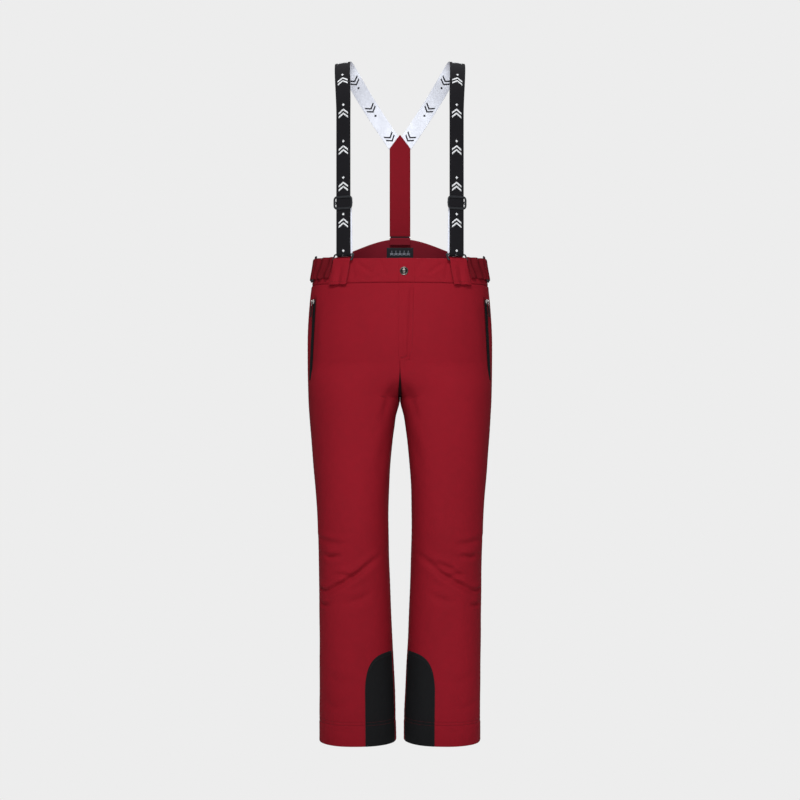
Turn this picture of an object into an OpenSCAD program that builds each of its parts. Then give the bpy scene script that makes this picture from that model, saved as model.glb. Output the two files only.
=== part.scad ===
// Ski pants with braces, standing on their hems.
// Millimetres. +Z is up, the front faces -Y, the wearer's left is +X, and the hems are at z = 0.

/* [Heights] */
// Height of the crotch seam
crotch_h = 766; // [746:1:786]
// Height of the waistband's lower seam
waist_seam_h = 1017; // [1007:1:1027]
// Height of the waistband at centre front
waist_top_h = 1071; // [1068:1:1074]
// Height of the yoke's peak at centre back
yoke_h = 1135; // [1125:1:1138]
// Height of the webbing where it passes over the shoulder
shoulder_h = 1521; // [1500:1:1540]

/* [Outline] */
// Outer edge of each leg at the hem, from the middle plane
hem_out = 180; // [174:1:186]
// Outer edge at the knee
knee_out = 184.5; // [180:0.5:190]
// Outer edge at the seat
seat_out = 207.5; // [202:0.5:212]
// Outer edge at the waistband seam
waist_out = 198; // [195:0.5:201]
// Half of the gap between the legs at the hem
hem_gap = 10; // [8:0.5:14]
// Half of the gap between the legs at the knee
knee_gap = 26; // [22:0.5:30]
// Front and back depth of the leg at the hem
hem_depth = [83, 85]; // [80:1:90]
// Front and back depth of the seat
seat_depth = [131, 137]; // [125:1:142]
// Roundness of the horizontal sections, where 2 is an ellipse
roundness = 2.25; // [2.1:0.05:2.5]

/* [Fabric] */
// Thickness of the shell fabric with its lining
cloth_t = 2; // [1.6:0.1:2.2]
// Thickness of the waistband
band_t = 3; // [2.4:0.1:3.2]
// Gap left at each seam between two cloth pieces
seam_gap = 0.3; // [0.2:0.05:0.4]

/* [Braces] */
// Width of the webbing
webbing_w = 35; // [30:1:36]
// Thickness of the webbing
webbing_t = 1.2; // [1:0.1:1.4]
// Distance of each front strap from the middle plane
strap_x = 124; // [120:1:128]
// Height of the strap slider's middle
slider_h = 1194; // [1160:1:1230]
// Width of the strap slider's slot
slider_slot_w = 40; // [38:1:41]
// Width of the red back strap
back_strap_w = 48; // [44:1:52]

/* [Fly] */
// Height of the fly's lower end
fly_h = 846; // [840:1:856]
// Width of the fly flap from the middle plane to its free edge
fly_overlap = 3; // [2:0.5:4]
// Distance of the snap from the middle plane
snap_x = 8.7; // [8:0.1:10]
// Height of the snap
snap_h = 1042; // [1040:1:1046]
// Diameter of the snap's cap
snap_d = 18.5; // [15:0.5:19]

/* [Pockets] */
// Height of the pocket zip's upper end
pocket_top_h = 985; // [980:1:992]
// Height of the pocket zip's lower end
pocket_bottom_h = 806; // [800:1:820]

/* [Leg ends] */
// Height of the scuff guard at the inner leg
guard_h = 203; // [190:1:230]
// Height of the scuff guard at its outer edge
guard_edge_h = 105; // [95:1:140]
// Distance of the scuff guard's outer edge from the middle plane
guard_x = 76; // [70:1:85]
// Inner radius of the ankle gaiter's elastic
gaiter_r = 68; // [64:1:69]

/* [Hidden] */

RED = "#8c2330";
DARK_RED = "#6c1522";
BLACK = "#1c1d20";
GREY = "#3a3c40";
METAL = "#6a6866";

// ---- Body outline -------------------------------------------------------------------------

hip_rise = waist_seam_h - crotch_h;
// Each level: height, outer edge, inner edge, front depth, back depth
LEVELS = [
    [0, hem_out, hem_gap, hem_depth[0], hem_depth[1]],
    [0.36 * crotch_h, hem_out, 0.75 * knee_gap, 78, 76],
    [0.63 * crotch_h, knee_out, knee_gap, 86, 80],
    [0.80 * crotch_h, 195, 0.85 * knee_gap, 98, 98],
    [0.94 * crotch_h, 203.3, 0.4 * knee_gap, 112, 120],
    [crotch_h, 206, 0, 118, 128],
    [crotch_h + 0.48 * hip_rise, seat_out, 0, seat_depth[0], seat_depth[1]],
    [crotch_h + 0.75 * hip_rise, 204.5, 0, 130, 133],
    [waist_seam_h, waist_out, 0, 124, 122],
    [waist_top_h, waist_out - 9, 0, 118, 112],
    [yoke_h + 5, waist_out - 17, 0, 112, 105]];
OUT = 1;
IN = 2;
FRONT = 3;
BACK = 4;

function slope(i, c) =
    i == 0 || i == len(LEVELS) - 1 ? 0
    : (LEVELS[i + 1][c] - LEVELS[i - 1][c]) / (LEVELS[i + 1][0] - LEVELS[i - 1][0]);

// Value of one column of LEVELS at a height, along a smooth cubic between the levels
function level(z, c) =
    let(i = max([for (k = [0 : len(LEVELS) - 2]) if (k == 0 || z >= LEVELS[k][0]) k]),
        h = LEVELS[i + 1][0] - LEVELS[i][0],
        t = (z - LEVELS[i][0]) / h,
        a = LEVELS[i][c],
        b = LEVELS[i + 1][c])
    a * (1 + 2 * t) * pow(1 - t, 2) + b * (3 - 2 * t) * t * t
    + h * slope(i, c) * t * pow(1 - t, 2) - h * slope(i + 1, c) * t * t * (1 - t);

// How far the section at a height is parted into two legs: 1 at the crotch, 0 at the split's top
function parted(z, top) = min(1, max(0, (top - z) / (top - crotch_h)));

back_split_h = crotch_h + 0.53 * hip_rise;

// A point of the left leg's outside: u runs from the outseam (0) to the inseam or middle (1)
function leg_point(z, u, side, inset) =
    let(xo = level(z, OUT),
        xi = max(0, level(z, IN)),
        p = parted(z, side == FRONT ? fly_h : back_split_h),
        a = (z < crotch_h ? (xo - xi) / 2 : xo / (1 + p)) - inset,
        xc = z < crotch_h ? (xo + xi) / 2 : p * xo / (1 + p),
        b = level(z, side) - inset,
        last = acos(-min(1, pow(xc / a, roundness / 2))),
        c = cos(u * last),
        x = xc + a * sign(c) * pow(abs(c), 2 / roundness),
        y = b * pow(max(0, sin(u * last)), 2 / roundness))
    [max(x, seam_gap / 2), (side == FRONT ? -1 : 1) * max(y, seam_gap / 2), z];

// Depth of the body at a height and a distance from the middle, above the split
function depth_at(x, z, side) =
    level(z, side) * pow(1 - pow(abs(x) / level(z, OUT), roundness), 1 / roundness);

// Outer edge of the body at a height and a depth, above the split
function edge_at(y, z) =
    level(z, OUT) * pow(1 - pow(abs(y) / level(z, y < 0 ? FRONT : BACK), roundness), 1 / roundness);

// Direction that the body's outside faces at a depth, as an angle from +X
function facing_at(y, z) =
    atan2(sign(y) * pow(abs(y) / level(z, y < 0 ? FRONT : BACK), roundness - 1)
              / level(z, y < 0 ? FRONT : BACK),
          pow(edge_at(y, z) / level(z, OUT), roundness - 1) / level(z, OUT));

function unit(v) = v / norm(v);
function mix(a, b, t) = a + (b - a) * t;

// ---- Cloth slabs --------------------------------------------------------------------------

// Closed slab between two grids of points, each a list of rows, outer first
module slab(outer, inner, flip = false) {
    rows = len(outer);
    cols = len(outer[0]);
    n = rows * cols;
    faces = concat(
        [for (r = [0 : rows - 2], c = [0 : cols - 2])
            let(i = r * cols + c)
            each [[i, i + 1, i + cols + 1], [i, i + cols + 1, i + cols]]],
        [for (r = [0 : rows - 2], c = [0 : cols - 2])
            let(i = n + r * cols + c)
            each [[i, i + cols + 1, i + 1], [i, i + cols, i + cols + 1]]],
        [for (c = [0 : cols - 2])
            each [[c + 1, c, n + c], [c + 1, n + c, n + c + 1]]],
        [for (c = [0 : cols - 2])
            let(i = n - cols + c)
            each [[i, i + 1, n + i + 1], [i, n + i + 1, n + i]]],
        [for (r = [0 : rows - 2])
            let(i = r * cols)
            each [[i, i + cols, n + i + cols], [i, n + i + cols, n + i]]],
        [for (r = [0 : rows - 2])
            let(i = r * cols + cols - 1)
            each [[i + cols, i, n + i], [i + cols, n + i, n + i + cols]]]);
    polyhedron(
        points = [for (row = outer) each row, for (row = inner) each row],
        faces = flip ? [for (f = faces) [f[2], f[1], f[0]]] : faces);
}

// Ribbon along a path: each station is [middle, across, out], with unit vectors
module ribbon(stations, width, thick) {
    slab([for (s = stations) [for (k = [-0.5, 0.5]) s[0] + k * width * s[1] + thick / 2 * s[2]]],
         [for (s = stations) [for (k = [-0.5, 0.5]) s[0] + k * width * s[1] - thick / 2 * s[2]]],
         flip = true);
}

// Slab that follows the side of the body, between two depths and two heights
module side_slab(y0, y1, z0, z1, near, far, cells = 8) {
    grid = function (off)
        [for (z = [z0, z1])
            [for (i = [0 : cells])
                let(y = y0 + (y1 - y0) * i / cells, a = facing_at(y, z))
                [edge_at(y, z) + off * cos(a), y + off * sin(a), z]]];
    slab(grid(far), grid(near), flip = true);
}

// Slab that follows the front or the back of the body, between two distances from the middle
module face_slab(x0, x1, z0, z1, near, far, side = FRONT, cells = 6, levels = 1) {
    s = side == FRONT ? -1 : 1;
    grid = function (off)
        [for (k = [0 : levels])
            [for (i = [0 : cells])
                let(x = x0 + (x1 - x0) * i / cells, z = z0 + (z1 - z0) * k / levels)
                [x, s * (depth_at(x, z, side) + off), z]]];
    slab(grid(far), grid(near), flip = side == FRONT);
}

module right_side() {
    mirror([1, 0, 0]) children();
}

// ---- Leg and seat panels ------------------------------------------------------------------

PANEL_ROWS = 26;
PANEL_COLS = 12;
panel_top_h = waist_seam_h - seam_gap / 2;

module leg_panel(side) {
    grid = function (inset)
        [for (r = [0 : PANEL_ROWS])
            [for (c = [0 : PANEL_COLS])
                leg_point(panel_top_h * r / PANEL_ROWS, c / PANEL_COLS, side, inset)]];
    slab(grid(0), grid(cloth_t), flip = side == BACK);
}

fly_cut_x = 29.3;
fly_edge_x = 25.6;
fly_cut_depth = 200;
fly_cut_h = 260;

module fly_cut() {
    translate([-1, -fly_cut_depth, fly_h])
        cube([fly_cut_x + 1, fly_cut_depth, fly_cut_h]);
}

module front_panel() {
    difference() {
        leg_panel(FRONT);
        at_pocket() pocket_slot();
    }
}

module front_panel_left() {
    color(RED) difference() {
        front_panel();
        fly_cut();
    }
}

module front_panel_right() {
    color(RED) right_side() front_panel();
}

module back_panel_left() {
    color(RED) leg_panel(BACK);
}

module back_panel_right() {
    color(RED) right_side() leg_panel(BACK);
}

// ---- Waistband ----------------------------------------------------------------------------

WAIST_COLS = 10;
side_rise = 8;
band_bottom_h = waist_seam_h + seam_gap / 2;
side_top_h = waist_top_h + side_rise;

function front_top(x) = waist_top_h + side_rise * pow(x / waist_out, 4);
function back_top(x) = side_top_h + (yoke_h - side_top_h) * pow(1 - pow(x / waist_out, 2), 2);

// One point of the waistband: v runs from its lower seam (0) to its top edge (1)
function band_point(u, v, side, inset) =
    let(x = leg_point(side_top_h, u, side, 0)[0],
        top = side == FRONT ? front_top(x) : back_top(x))
    leg_point(band_bottom_h + v * (top - band_bottom_h), u, side, inset);

module front_band() {
    grid = function (inset)
        [for (v = [0, 0.5, 1])
            [for (c = [0 : WAIST_COLS]) band_point(c / WAIST_COLS, v, FRONT, inset)]];
    slab(grid(0), grid(band_t));
}

module waistband_front_left() {
    color(RED) difference() {
        front_band();
        fly_cut();
    }
}

module waistband_front_right() {
    color(RED) right_side() front_band();
}

// The back of the waistband crosses the middle without a seam
module waistband_back() {
    grid = function (inset)
        [for (v = [0, 0.25, 0.5, 0.75, 1])
            [for (c = [WAIST_COLS : -1 : -WAIST_COLS])
                let(p = band_point(1 - abs(c) / WAIST_COLS, v, BACK, inset))
                [sign(c) * p[0], p[1], p[2]]]];
    color(RED) slab(grid(0), grid(band_t), flip = true);
}

label_size = [62, 30];
label_top_h = yoke_h - 20;

module back_label() {
    color(BLACK)
        face_slab(-label_size[0] / 2, label_size[0] / 2, label_top_h - label_size[1], label_top_h,
                  -band_t - 1.3, -band_t - 0.5, side = BACK);
}

// ---- Leg ends -----------------------------------------------------------------------------

GUARD_COLS = 12;
GUARD_CROWDING = 1.25;
GUARD_ROWS = 5;
guard_near = 0.3;
guard_far = 1.4;
guard_roundness = 2.8;
leg_middle_x = (hem_out + hem_gap) / 2;
leg_half_w = (hem_out - hem_gap) / 2;

// Share of the half section, from the outseam, at which the guard's outer edge lies
guard_u = acos(-pow((leg_middle_x - guard_x) / leg_half_w, roundness / 2)) / 180;

// Top of the guard at a share of the half section: flat at the inseam, rounded off at the outer edge
function guard_top(u) =
    let(x = leg_point(0, u, FRONT, 0)[0], across = (x - hem_gap) / (guard_x - hem_gap))
    mix(guard_edge_h, guard_h, pow(max(0, 1 - pow(max(0, across), guard_roundness)), 1 / guard_roundness));

// Patch round the inner leg, from the hem up
module scuff_guard() {
    grid = function (off)
        [for (r = [0 : GUARD_ROWS])
            [for (c = [-GUARD_COLS : GUARD_COLS])
                let(u = mix(guard_u, 1, pow(1 - abs(c) / GUARD_COLS, GUARD_CROWDING)))
                leg_point(guard_top(u) * r / GUARD_ROWS, u, c < 0 ? FRONT : BACK, -off)]];
    slab(grid(guard_far), grid(guard_near));
}

module scuff_guard_left() {
    color(BLACK) scuff_guard();
}

module scuff_guard_right() {
    color(BLACK) right_side() scuff_guard();
}

gaiter_bottom_h = 12;
gaiter_top_h = 190;
gaiter_t = 1.2;
elastic_t = 2;
elastic_w = 32;

// Thin sleeve inside the leg, sewn in at its top and gathered at the ankle
module gaiter() {
    bottom_r = gaiter_r + elastic_t + 0.2;
    top_r = bottom_r + 3.5;
    translate([leg_middle_x, 0, 0])
        rotate_extrude($fn = 96)
            polygon([[bottom_r, gaiter_bottom_h], [bottom_r + gaiter_t, gaiter_bottom_h],
                     [top_r + gaiter_t, gaiter_top_h], [top_r, gaiter_top_h]]);
}

module gaiter_elastic() {
    translate([leg_middle_x, 0, gaiter_bottom_h + 2])
        difference() {
            cylinder(h = elastic_w, r = gaiter_r + elastic_t, $fn = 96);
            translate([0, 0, -1]) cylinder(h = elastic_w + 2, r = gaiter_r, $fn = 96);
        }
}

module gaiter_left() {
    color(BLACK) gaiter();
}

module gaiter_right() {
    color(BLACK) right_side() gaiter();
}

module gaiter_elastic_left() {
    color(GREY) gaiter_elastic();
}

module gaiter_elastic_right() {
    color(GREY) right_side() gaiter_elastic();
}

// ---- Zips ---------------------------------------------------------------------------------

// A zip's own frame: origin at its upper end, +Z up along the zip, +Y outward, +X across
chain_w = 4;
chain_t = 1.8;
tape_t = 0.9;
slider_w = 8.6;
slider_l = 11;
slider_wall = 0.9;
zip_play = 0.3;
pin_r = 0.8;
eye_play = 0.08;
eye_wall = 0.7;
eye_r = pin_r + eye_play;
link_w = 3.4;
link_t = 1;
slider_inside = chain_t + zip_play;
pull_pin = [slider_inside + slider_wall + 0.2 + eye_r + eye_wall, -4];

module placed(origin, across, out, up) {
    multmatrix([[across[0], out[0], up[0], origin[0]],
                [across[1], out[1], up[1], origin[1]],
                [across[2], out[2], up[2], origin[2]],
                [0, 0, 0, 1]])
        children();
}

module zip(length, tape_w) {
    translate([-tape_w / 2, -tape_t / 2, -length]) cube([tape_w, tape_t, length]);
    translate([-chain_w / 2, 0, -length]) cube([chain_w, chain_t, length]);
}

// Saddle that rides on the chain, with two ears that carry the pull's pin
module zip_slider() {
    side_t = 1.2;
    ear_t = 1;
    ear_l = 4;
    ear_x = link_w / 2 + 0.5;
    ear_top = pull_pin[0] + pin_r + 0.4;
    translate([-slider_w / 2, slider_inside, -slider_l]) cube([slider_w, slider_wall, slider_l]);
    for (x = [-slider_w / 2, slider_w / 2 - side_t])
        translate([x, tape_t / 2 + zip_play, -slider_l])
            cube([side_t, slider_inside + slider_wall - tape_t / 2 - zip_play, slider_l]);
    for (x = [-ear_x - ear_t, ear_x])
        translate([x, slider_inside, pull_pin[1] - ear_l / 2])
            cube([ear_t, ear_top - slider_inside, ear_l]);
    translate([-ear_x - ear_t, pull_pin[0], pull_pin[1]])
        rotate([0, 90, 0]) cylinder(h = 2 * (ear_x + ear_t), r = pin_r, $fn = 32);
}

// Flat pull with an eye on the slider's pin, and a cord tail when the tail has a length
module zip_pull(link_l, tail_l) {
    tail_w = 5;
    tail_t = 1.8;
    link_y = pull_pin[0] + 0.4;
    difference() {
        union() {
            translate([-link_w / 2, pull_pin[0], pull_pin[1]])
                rotate([0, 90, 0]) cylinder(h = link_w, r = eye_r + eye_wall, $fn = 32);
            translate([-link_w / 2, link_y, pull_pin[1] - link_l])
                cube([link_w, link_t, link_l]);
        }
        translate([-link_w, pull_pin[0], pull_pin[1]])
            rotate([0, 90, 0]) cylinder(h = 2 * link_w, r = eye_r, $fn = 32);
    }
    if (tail_l > 0)
        translate([-tail_w / 2, link_y + (link_t - tail_t) / 2, pull_pin[1] - link_l - tail_l])
            cube([tail_w, tail_t, tail_l + 1]);
}

// ---- Pockets ------------------------------------------------------------------------------

pocket_top_y = -52;
pocket_bottom_y = -41;
pocket_lift = 1.2;
pocket_tape_w = 14;
pocket_slot_w = 16;
pocket_slot_depth = 28;
slot_margin = 3;
pull_link_l = 12;
pull_tail_l = 24;

pocket_top = [edge_at(pocket_top_y, pocket_top_h), pocket_top_y, pocket_top_h];
pocket_bottom = [edge_at(pocket_bottom_y, pocket_bottom_h), pocket_bottom_y, pocket_bottom_h];
pocket_l = norm(pocket_top - pocket_bottom);
pocket_up = (pocket_top - pocket_bottom) / pocket_l;
pocket_facing = facing_at((pocket_top_y + pocket_bottom_y) / 2, (pocket_top_h + pocket_bottom_h) / 2);
pocket_level = [cos(pocket_facing), sin(pocket_facing), 0];
pocket_across = cross(pocket_level, pocket_up) / norm(cross(pocket_level, pocket_up));
pocket_out = cross(pocket_up, pocket_across);

module at_pocket() {
    placed(pocket_top + pocket_lift * pocket_out, pocket_across, pocket_out, pocket_up) children();
}

module pocket_slot() {
    translate([-pocket_slot_w / 2, -pocket_slot_depth / 2, -pocket_l - slot_margin])
        cube([pocket_slot_w, pocket_slot_depth, pocket_l + 2 * slot_margin]);
}

// Flat pouch that hangs inside the front panel
module pocket_bag() {
    bag_near = 9;
    bag_far = 12;
    bag_h = [pocket_bottom_h + 20, pocket_top_h - 5];
    bag_u = [0.16, 0.56];
    rows = 6;
    cols = 7;
    grid = function (inset)
        [for (r = [0 : rows])
            [for (c = [0 : cols])
                leg_point(mix(bag_h[0], bag_h[1], r / rows),
                          mix(bag_u[0], bag_u[1], c / cols), FRONT, inset)]];
    slab(grid(bag_near), grid(bag_far));
}

module pocket_bag_left() {
    color(DARK_RED) pocket_bag();
}

module pocket_bag_right() {
    color(DARK_RED) right_side() pocket_bag();
}

module pocket_zip_left() {
    color(BLACK) at_pocket() zip(pocket_l, pocket_tape_w);
}

module pocket_zip_right() {
    color(BLACK) right_side() at_pocket() zip(pocket_l, pocket_tape_w);
}

module pocket_zip_slider_left() {
    color(METAL) at_pocket() zip_slider();
}

module pocket_zip_slider_right() {
    color(METAL) right_side() at_pocket() zip_slider();
}

module pocket_zip_pull_left() {
    color(BLACK) at_pocket() zip_pull(pull_link_l, pull_tail_l);
}

module pocket_zip_pull_right() {
    color(BLACK) right_side() at_pocket() zip_pull(pull_link_l, pull_tail_l);
}

// ---- Fly ----------------------------------------------------------------------------------

flap_off = 3.2;
flap_t = 2.2;
tab_t = 2.6;
shield_t = 2;
shield_x = [-30, 26];
fly_zip_x = 12;
fly_zip_top_h = 1008;
fly_zip_bottom_h = 862;
fly_zip_inset = 6.5;
shield_bend_h = [1012, 1030];
shield_inset_zip = 13;
shield_inset_snap = 5;
fly_tape_w = 22;
fly_pull_l = 14;
flap_foot_h = fly_h + 1;
shield_h = [fly_h + 6, waist_top_h - 4];

module fly_placket() {
    color(RED)
        face_slab(-fly_overlap, fly_edge_x, flap_foot_h, panel_top_h,
                  flap_off - flap_t, flap_off, levels = 8);
}

module fly_waist_tab() {
    color(RED) difference() {
        face_slab(-fly_overlap, fly_edge_x, band_bottom_h, waist_top_h, flap_off - tab_t, flap_off,
                  levels = 3);
        at_snap_hole() cylinder(h = snap_hole_l, r = snap_hole_r, $fn = 48);
    }
}

// Inset of the shield: deeper below the waistband, where the zip lies in front of it
function shield_inset(z) =
    let(t = min(1, max(0, (z - shield_bend_h[0]) / (shield_bend_h[1] - shield_bend_h[0]))))
    mix(shield_inset_zip, shield_inset_snap, t * t * (3 - 2 * t));

module fly_shield() {
    rows = 12;
    cols = 6;
    grid = function (extra)
        [for (r = [0 : rows])
            [for (c = [0 : cols])
                let(x = mix(shield_x[0], shield_x[1], c / cols),
                    z = mix(shield_h[0], shield_h[1], r / rows))
                [x, -depth_at(x, z, FRONT) + shield_inset(z) + extra, z]]];
    color(BLACK) difference() {
        slab(grid(0), grid(shield_t), flip = true);
        at_snap_hole() cylinder(h = snap_hole_l, r = post_hole_r, $fn = 48);
    }
}

fly_zip_top = [fly_zip_x, -depth_at(fly_zip_x, fly_zip_top_h, FRONT) + fly_zip_inset, fly_zip_top_h];
fly_zip_bottom = [fly_zip_x, -depth_at(fly_zip_x, fly_zip_bottom_h, FRONT) + fly_zip_inset,
    fly_zip_bottom_h];
fly_zip_l = norm(fly_zip_top - fly_zip_bottom);
fly_zip_up = (fly_zip_top - fly_zip_bottom) / fly_zip_l;

module at_fly_zip() {
    placed(fly_zip_top, [-1, 0, 0], cross(fly_zip_up, [-1, 0, 0]), fly_zip_up) children();
}

module fly_zip() {
    color(BLACK) at_fly_zip() zip(fly_zip_l, fly_tape_w);
}

module fly_zip_slider() {
    color(METAL) at_fly_zip() zip_slider();
}

module fly_zip_pull() {
    color(METAL) at_fly_zip() zip_pull(fly_pull_l, 0);
}

// ---- Snap ---------------------------------------------------------------------------------

snap_hole_r = 2.8;
post_hole_r = 2.3;
snap_hole_l = 40;
snap_reach = 20;
snap_tilt = atan2(level(snap_h + snap_reach, FRONT) - level(snap_h - snap_reach, FRONT), 2 * snap_reach);
plate_r = 6.3;

// The snap's own frame: origin on the body's surface, +Z outward
module at_snap() {
    translate([snap_x, -depth_at(snap_x, snap_h, FRONT), snap_h])
        rotate([90 + snap_tilt, 0, 0]) children();
}

module at_snap_hole() {
    at_snap() translate([0, 0, -snap_hole_l / 2]) children();
}

// Domed cap outside the waist tab, with its rivet down into the socket
module snap_cap() {
    cap_base = flap_off + 0.15;
    cap_h = 3;
    dome_r = 20;
    rivet_r = 2.4;
    rivet_foot = 0.3;
    color(METAL) at_snap() {
        translate([0, 0, cap_base])
            intersection() {
                translate([0, 0, cap_h - dome_r]) sphere(r = dome_r, $fn = 96);
                cylinder(h = cap_h, r = snap_d / 2, $fn = 96);
            }
        translate([0, 0, rivet_foot])
            cylinder(h = cap_base + 0.4 - rivet_foot, r = rivet_r, $fn = 48);
    }
}

// Cup on the inside of the waist tab, open towards the body
module snap_socket() {
    cup_foot = -2.2;
    cup_h = 2.4;
    cup_bottom_t = 0.6;
    cup_r = 6.5;
    cup_inner_r = 3.9;
    color(METAL) at_snap()
        difference() {
            translate([0, 0, cup_foot]) cylinder(h = cup_h, r = cup_r, $fn = 64);
            translate([0, 0, cup_foot - 1])
                cylinder(h = 1 + cup_h - cup_bottom_t, r = cup_inner_r, $fn = 64);
        }
}

// Plate on the shield's outside, with the stud that the cup closes over
module snap_stud() {
    stud_foot = -4.7;
    stud_h = 3.5;
    stud_r = 3.1;
    plate_t = 0.9;
    color(METAL) at_snap() {
        translate([0, 0, stud_foot]) cylinder(h = plate_t, r = plate_r, $fn = 64);
        translate([0, 0, stud_foot]) cylinder(h = stud_h, r = stud_r, $fn = 64);
    }
}

// Plate on the shield's inside, with the rivet that holds the stud
module snap_post() {
    post_foot = -8.5;
    post_h = 3.7;
    post_r = 1.9;
    plate_t = 1.1;
    color(METAL) at_snap() {
        translate([0, 0, post_foot]) cylinder(h = plate_t, r = plate_r, $fn = 64);
        translate([0, 0, post_foot]) cylinder(h = post_h, r = post_r, $fn = 48);
    }
}

// ---- Front straps -------------------------------------------------------------------------

strap_facing = -atan2(pow(depth_at(strap_x, waist_top_h, FRONT) / level(waist_top_h, FRONT), roundness - 1)
                          / level(waist_top_h, FRONT),
                      pow(strap_x / level(waist_top_h, OUT), roundness - 1) / level(waist_top_h, OUT));
strap_out = [cos(strap_facing), sin(strap_facing), 0];
strap_across = [-sin(strap_facing), cos(strap_facing), 0];
strap_foot = [strap_x, -depth_at(strap_x, waist_top_h, FRONT), 0];
UP = [0, 0, 1];

// The strap's own frame: origin below the strap on the hem plane, +X across, +Y outward
module at_strap() {
    placed(strap_foot, -strap_across, strap_out, UP) children();
}

ring_bar_r = 1.75;
ring_w = 50;
ring_front = [5.8, 1068];
ring_back = [-4.6, 1081];
ring_tilt = atan2(ring_back[1] - ring_front[1], ring_back[0] - ring_front[0]);
ring_span = norm(ring_back - ring_front);
loop_play = 2.2;
loop_r = ring_bar_r + loop_play + webbing_t / 2;
strap_plane = ring_back[0] + loop_r;

// Tab: sewn to the waistband, folded over the ring's front bar
tab_w = 42;
tab_fold_r = 2.2;
tab_cloth = 2.2;
tab_bottom_h = 1014;
tab_flare = 4.4;

module suspender_tab() {
    fold_out = tab_fold_r + tab_cloth;
    at_strap() difference() {
        union() {
            translate([-tab_w / 2, ring_front[0], ring_front[1]])
                rotate([0, 90, 0]) cylinder(h = tab_w, r = fold_out, $fn = 48);
            translate([-tab_w / 2, 0, 0])
                rotate([90, 0, 90])
                    linear_extrude(tab_w)
                        polygon([[ring_front[0] + fold_out - tab_cloth, ring_front[1]],
                                 [ring_front[0] + fold_out, ring_front[1]],
                                 [ring_front[0] + fold_out + tab_flare, tab_bottom_h],
                                 [ring_front[0] + fold_out + tab_flare - tab_cloth, tab_bottom_h]]);
        }
        translate([-ring_w / 2, ring_front[0], ring_front[1]])
            rotate([0, 90, 0]) cylinder(h = ring_w, r = tab_fold_r, $fn = 48);
    }
}

module suspender_tab_left() {
    color(RED) suspender_tab();
}

module suspender_tab_right() {
    color(RED) right_side() suspender_tab();
}

module suspender_ring() {
    at_strap() translate([0, ring_front[0], ring_front[1]]) rotate([ring_tilt, 0, 0]) {
        for (y = [0, ring_span])
            translate([-ring_w / 2 + ring_bar_r, y, 0])
                rotate([0, 90, 0]) cylinder(h = ring_w - 2 * ring_bar_r, r = ring_bar_r, $fn = 32);
        for (s = [-1, 1])
            translate([s * (ring_w / 2 - ring_bar_r) - ring_bar_r, -ring_bar_r, -ring_bar_r])
                cube([2 * ring_bar_r, ring_span + 2 * ring_bar_r, 2 * ring_bar_r]);
    }
}

module suspender_ring_left() {
    color(BLACK) suspender_ring();
}

module suspender_ring_right() {
    color(BLACK) right_side() suspender_ring();
}

// Webbing: up from the loop on the ring, over the shoulder and down to the back strap
LOOP_STEPS = 8;
TURN_STEPS = 16;
BACK_STEPS = 6;
turn_h = 1400;
top_x = strap_x + 3;
junction = [11, 102.2, 1352];
back_share = 0.24;
back_y_top = 46;
back_lean = 31;
shoulder_slope = 7.6;

// Cubic curve through two ends with given pulls, and its direction
function curve(p0, d0, p1, d1, t) =
    (1 + 2 * t) * pow(1 - t, 2) * p0 + t * pow(1 - t, 2) * d0
    + t * t * (3 - 2 * t) * p1 - t * t * (1 - t) * d1;

strap_start = strap_foot + strap_plane * strap_out;
turn_start = strap_start + turn_h * UP;
shoulder_top = [top_x, 0, shoulder_h];
back_start = mix(shoulder_top, junction, back_share) + [0, back_y_top - back_share * junction[1], 0];
back_across = unit([-cos(back_lean), 0, sin(back_lean)]);
shoulder_across = unit([-cos(shoulder_slope), 0, sin(shoulder_slope)]);
shoulder_way = unit([-0.1, 1, 0]);
rise_pull = 150;
front_pull = 130;
rear_pull = 120;
fall_pull = 70;
strap_end_cut = [40, 80, 120];
strap_end_corner = [-40, 60, 1300];

// A point of the webbing behind the shoulder, which bends until it hangs along the back strap
function back_point(t) =
    mix(back_start, junction, t)
    + [0, (junction[1] - back_start[1]) * (1 - t - pow(1 - t, 3)), 0];

function back_way(t) = unit(back_point(t + 0.01) - back_point(t - 0.01));

function station(p, way, across) =
    let(a = unit(across - (across * way) * way))
    [p, a, cross(way, a)];

loop_stations = [for (i = [0 : LOOP_STEPS])
    let(a = -180 * (1 - i / LOOP_STEPS))
    [strap_foot + (ring_back[0] + loop_r * cos(a)) * strap_out
         + (ring_back[1] + loop_r * sin(a)) * UP,
     -strap_across, unit(cos(a) * strap_out + sin(a) * UP)]];
straight_stations = [[turn_start, -strap_across, strap_out]];

function turn_station(t) =
    let(half = t < 0.5,
        s = half ? 2 * t : 2 * t - 1,
        p0 = half ? turn_start : shoulder_top,
        p1 = half ? shoulder_top : back_start,
        d0 = half ? rise_pull * UP : rear_pull * shoulder_way,
        d1 = half ? front_pull * shoulder_way : fall_pull * back_way(0),
        p = curve(p0, d0, p1, d1, s),
        way = unit(curve(p0, d0, p1, d1, s + 0.01) - curve(p0, d0, p1, d1, s - 0.01)),
        across = half ? mix(-strap_across, shoulder_across, s) : mix(shoulder_across, back_across, s))
    station(p, way, across);

turn_stations = [for (i = [1 : TURN_STEPS]) turn_station(i / TURN_STEPS)];
back_stations = [for (i = [1 : BACK_STEPS])
    station(back_point(i / BACK_STEPS), back_way(i / BACK_STEPS), back_across)];

module suspender_strap() {
    difference() {
        ribbon(concat(loop_stations, straight_stations, turn_stations, back_stations),
               webbing_w, webbing_t);
        translate(strap_end_corner) cube(strap_end_cut + [seam_gap, 0, 0]);
    }
}

module suspender_strap_left() {
    color(BLACK) suspender_strap();
}

module suspender_strap_right() {
    color(BLACK) right_side() suspender_strap();
}

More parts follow.
